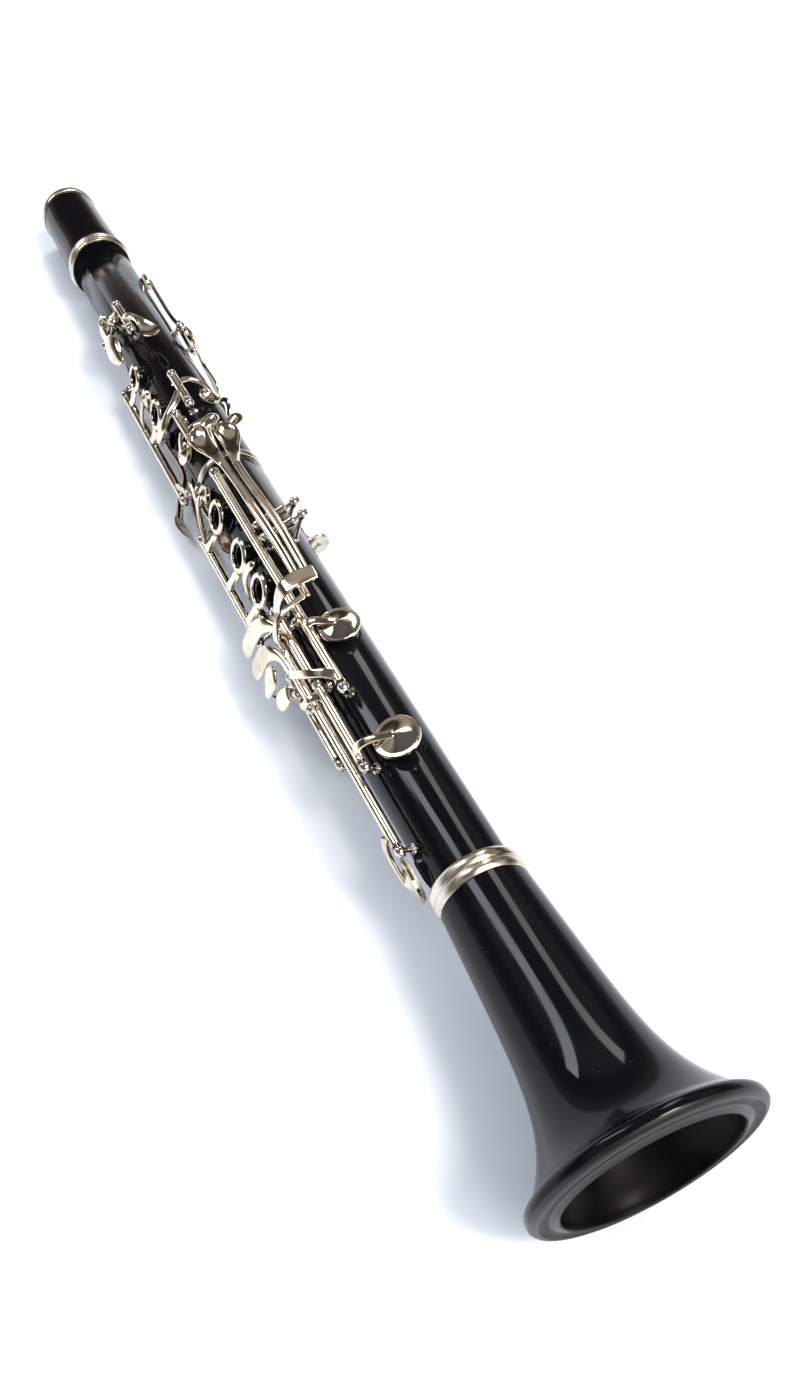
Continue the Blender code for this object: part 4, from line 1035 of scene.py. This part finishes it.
def a_flat_key():
    """The cup on the right side with the lowest paddle."""
    line, body = (-54, 21.0), "a_flat_key"
    along_hinge("a_flat_hinge", line, (375, 424))
    along_tube(body, line, 377.7, 421.3)
    arm("a_flat_arm", body, [(411.5, 21.6, -59), (413, 20.6, -67), apex(A_FLAT_CUP)], [4.2, 3.2, 3.2],
        1.8)
    cup("a_flat_cup", body, A_FLAT_CUP, 1.9, SHUT, "a_flat_pad")
    arm("a_flat_finger", body, [(384.5, 22.4, -52.5), (383.5, 26.2, -47.5), (382.5, 29.2, -41),
            flat(381.8, 25.2, -17)], [4.8, 3.8, 3.8, 4.6], 1.9)
    paddle(body, flat(382.2, 24.6, -18.5), [flat(382.0, 25.6, -12), flat(382.3, 25.8, -8),
            flat(382.6, 25.6, -4.6)], [9.2, 9.0, 6.4])


# ---------------- stage, light and camera

# Half a side of the square floor, in metres
SHEET_HALF = 6.0

# The room's colour at each sine of elevation, as polished metal sees it, and the fill that cloth gets
ROOM = [(0.0, (0.50, 0.45, 0.41)), (0.10, (0.34, 0.28, 0.23)), (0.20, (0.10, 0.075, 0.055)),
        (0.38, (0.05, 0.042, 0.038)), (0.50, (0.36, 0.325, 0.29)), (0.68, (0.44, 0.40, 0.36)),
        (0.80, (0.12, 0.11, 0.10)), (1.0, (0.16, 0.15, 0.15))]
SOFT_FILL = (0.60, 0.67, 0.79)

# Each area light's name, direction, distance, size, power and colour
LAMPS = [
    ("cool_strip", (-0.585, -0.457, 0.669), 2.2, (0.42, 1.3), 15.0, (0.90, 0.95, 1.0)),
    ("far_strip", (-0.60, 0.375, 0.707), 2.2, (0.40, 1.2), 9.0, (1.0, 0.97, 0.92)),
    ("warm_key", (0.49, 0.266, 0.83), 2.4, (0.6, 0.6), 28, (1.0, 0.94, 0.87)),
    ("broad_fill", (0.75, 0.30, 0.75), 3.0, (2.4, 2.4), 33, (1.0, 0.98, 0.95)),
]

# The camera in the instrument's own space: its right, up and back, and its place
CAMERA_AXES = [
    Vector((0.402, 0.8753, 0.2682)),
    Vector((-0.722, 0.1225, 0.6814)),
    Vector((0.564, -0.4676, 0.6810)),
]
CAMERA_PLACE = Vector((691.18, -220.48, 277.19))
SENSOR_MM, LENS_MM = 36.0, 31.56
SHIFT_X, SHIFT_Y = 0.0352, 0.0896
VIEW_GAMMA = 0.88


def sheet():
    """The floor that the instrument lies on."""
    mesh = bpy.data.meshes.new("sheet")
    low, high = -SHEET_HALF, SHEET_HALF
    mesh.from_pydata([(low, low, 0), (high, low, 0), (high, high, 0), (low, high, 0)], [], [(0, 1, 2, 3)])
    mesh.materials.append(white_sheet("white_sheet"))
    floor = bpy.data.objects.new("sheet", mesh)
    bpy.context.scene.collection.objects.link(floor)


def room():
    """A dim room whose light falls off in bands, with an even fill for what isn't polished."""
    world = bpy.data.worlds.new("room")
    bpy.context.scene.world = world
    world.use_nodes = True
    tree = world.node_tree
    where = tree.nodes.new("ShaderNodeTexCoord")
    split = tree.nodes.new("ShaderNodeSeparateXYZ")
    ramp = tree.nodes.new("ShaderNodeValToRGB")
    tree.links.new(where.outputs["Generated"], split.inputs["Vector"])
    tree.links.new(split.outputs["Z"], ramp.inputs["Fac"])
    marks = ramp.color_ramp.elements
    for mark, (height, colour) in zip(marks, (ROOM[0], ROOM[-1])):
        mark.position, mark.color = height, (*colour, 1)
    for height, colour in ROOM[1:-1]:
        marks.new(height).color = (*colour, 1)
    path = tree.nodes.new("ShaderNodeLightPath")
    mix = tree.nodes.new("ShaderNodeMix")
    mix.data_type = "RGBA"
    tree.links.new(path.outputs["Is Diffuse Ray"], mix.inputs["Factor"])
    tree.links.new(ramp.outputs["Color"], mix.inputs[6])
    mix.inputs[7].default_value = (*SOFT_FILL, 1)
    tree.links.new(mix.outputs[2], tree.nodes["Background"].inputs["Color"])


def lamp(name, direction, distance, size, watts, colour):
    """A soft area light that looks at the instrument."""
    light = bpy.data.lights.new(name, "AREA")
    light.shape = "RECTANGLE"
    light.size, light.size_y = size
    light.energy = watts
    light.color = colour
    made = bpy.data.objects.new(name, light)
    bpy.context.scene.collection.objects.link(made)
    made.location = Vector(direction).normalized() * distance
    made.rotation_euler = (-made.location).to_track_quat("-Z", "Y").to_euler()


def camera():
    """The camera, which looks down on the instrument from past its bell."""
    data = bpy.data.cameras.new("camera")
    made = bpy.data.objects.new("camera", data)
    bpy.context.scene.collection.objects.link(made)
    bpy.context.scene.camera = made
    spin = WORLD.to_quaternion().to_matrix()
    columns = Matrix([spin @ axis for axis in CAMERA_AXES]).transposed()
    made.matrix_world = Matrix.Translation(WORLD @ CAMERA_PLACE) @ columns.to_4x4()
    data.sensor_width, data.lens = SENSOR_MM, LENS_MM
    data.shift_x, data.shift_y = SHIFT_X, SHIFT_Y
    data.clip_start, data.clip_end = 0.01, 50.0


black_tube()
thumb_rest()
register_key()
throat_keys()
thumb_ring()
upper_rings()
e_flat_key()
c_sharp_key()
side_keys()
lower_rings()
sliver_key()
left_hand_levers()
f_sharp_keys()
f_keys()
e_key()
a_flat_key()
sheet()
room()
for lamp_row in LAMPS:
    lamp(*lamp_row)
camera()
bpy.context.scene.view_settings.view_transform = "Standard"
bpy.context.scene.view_settings.gamma = VIEW_GAMMA
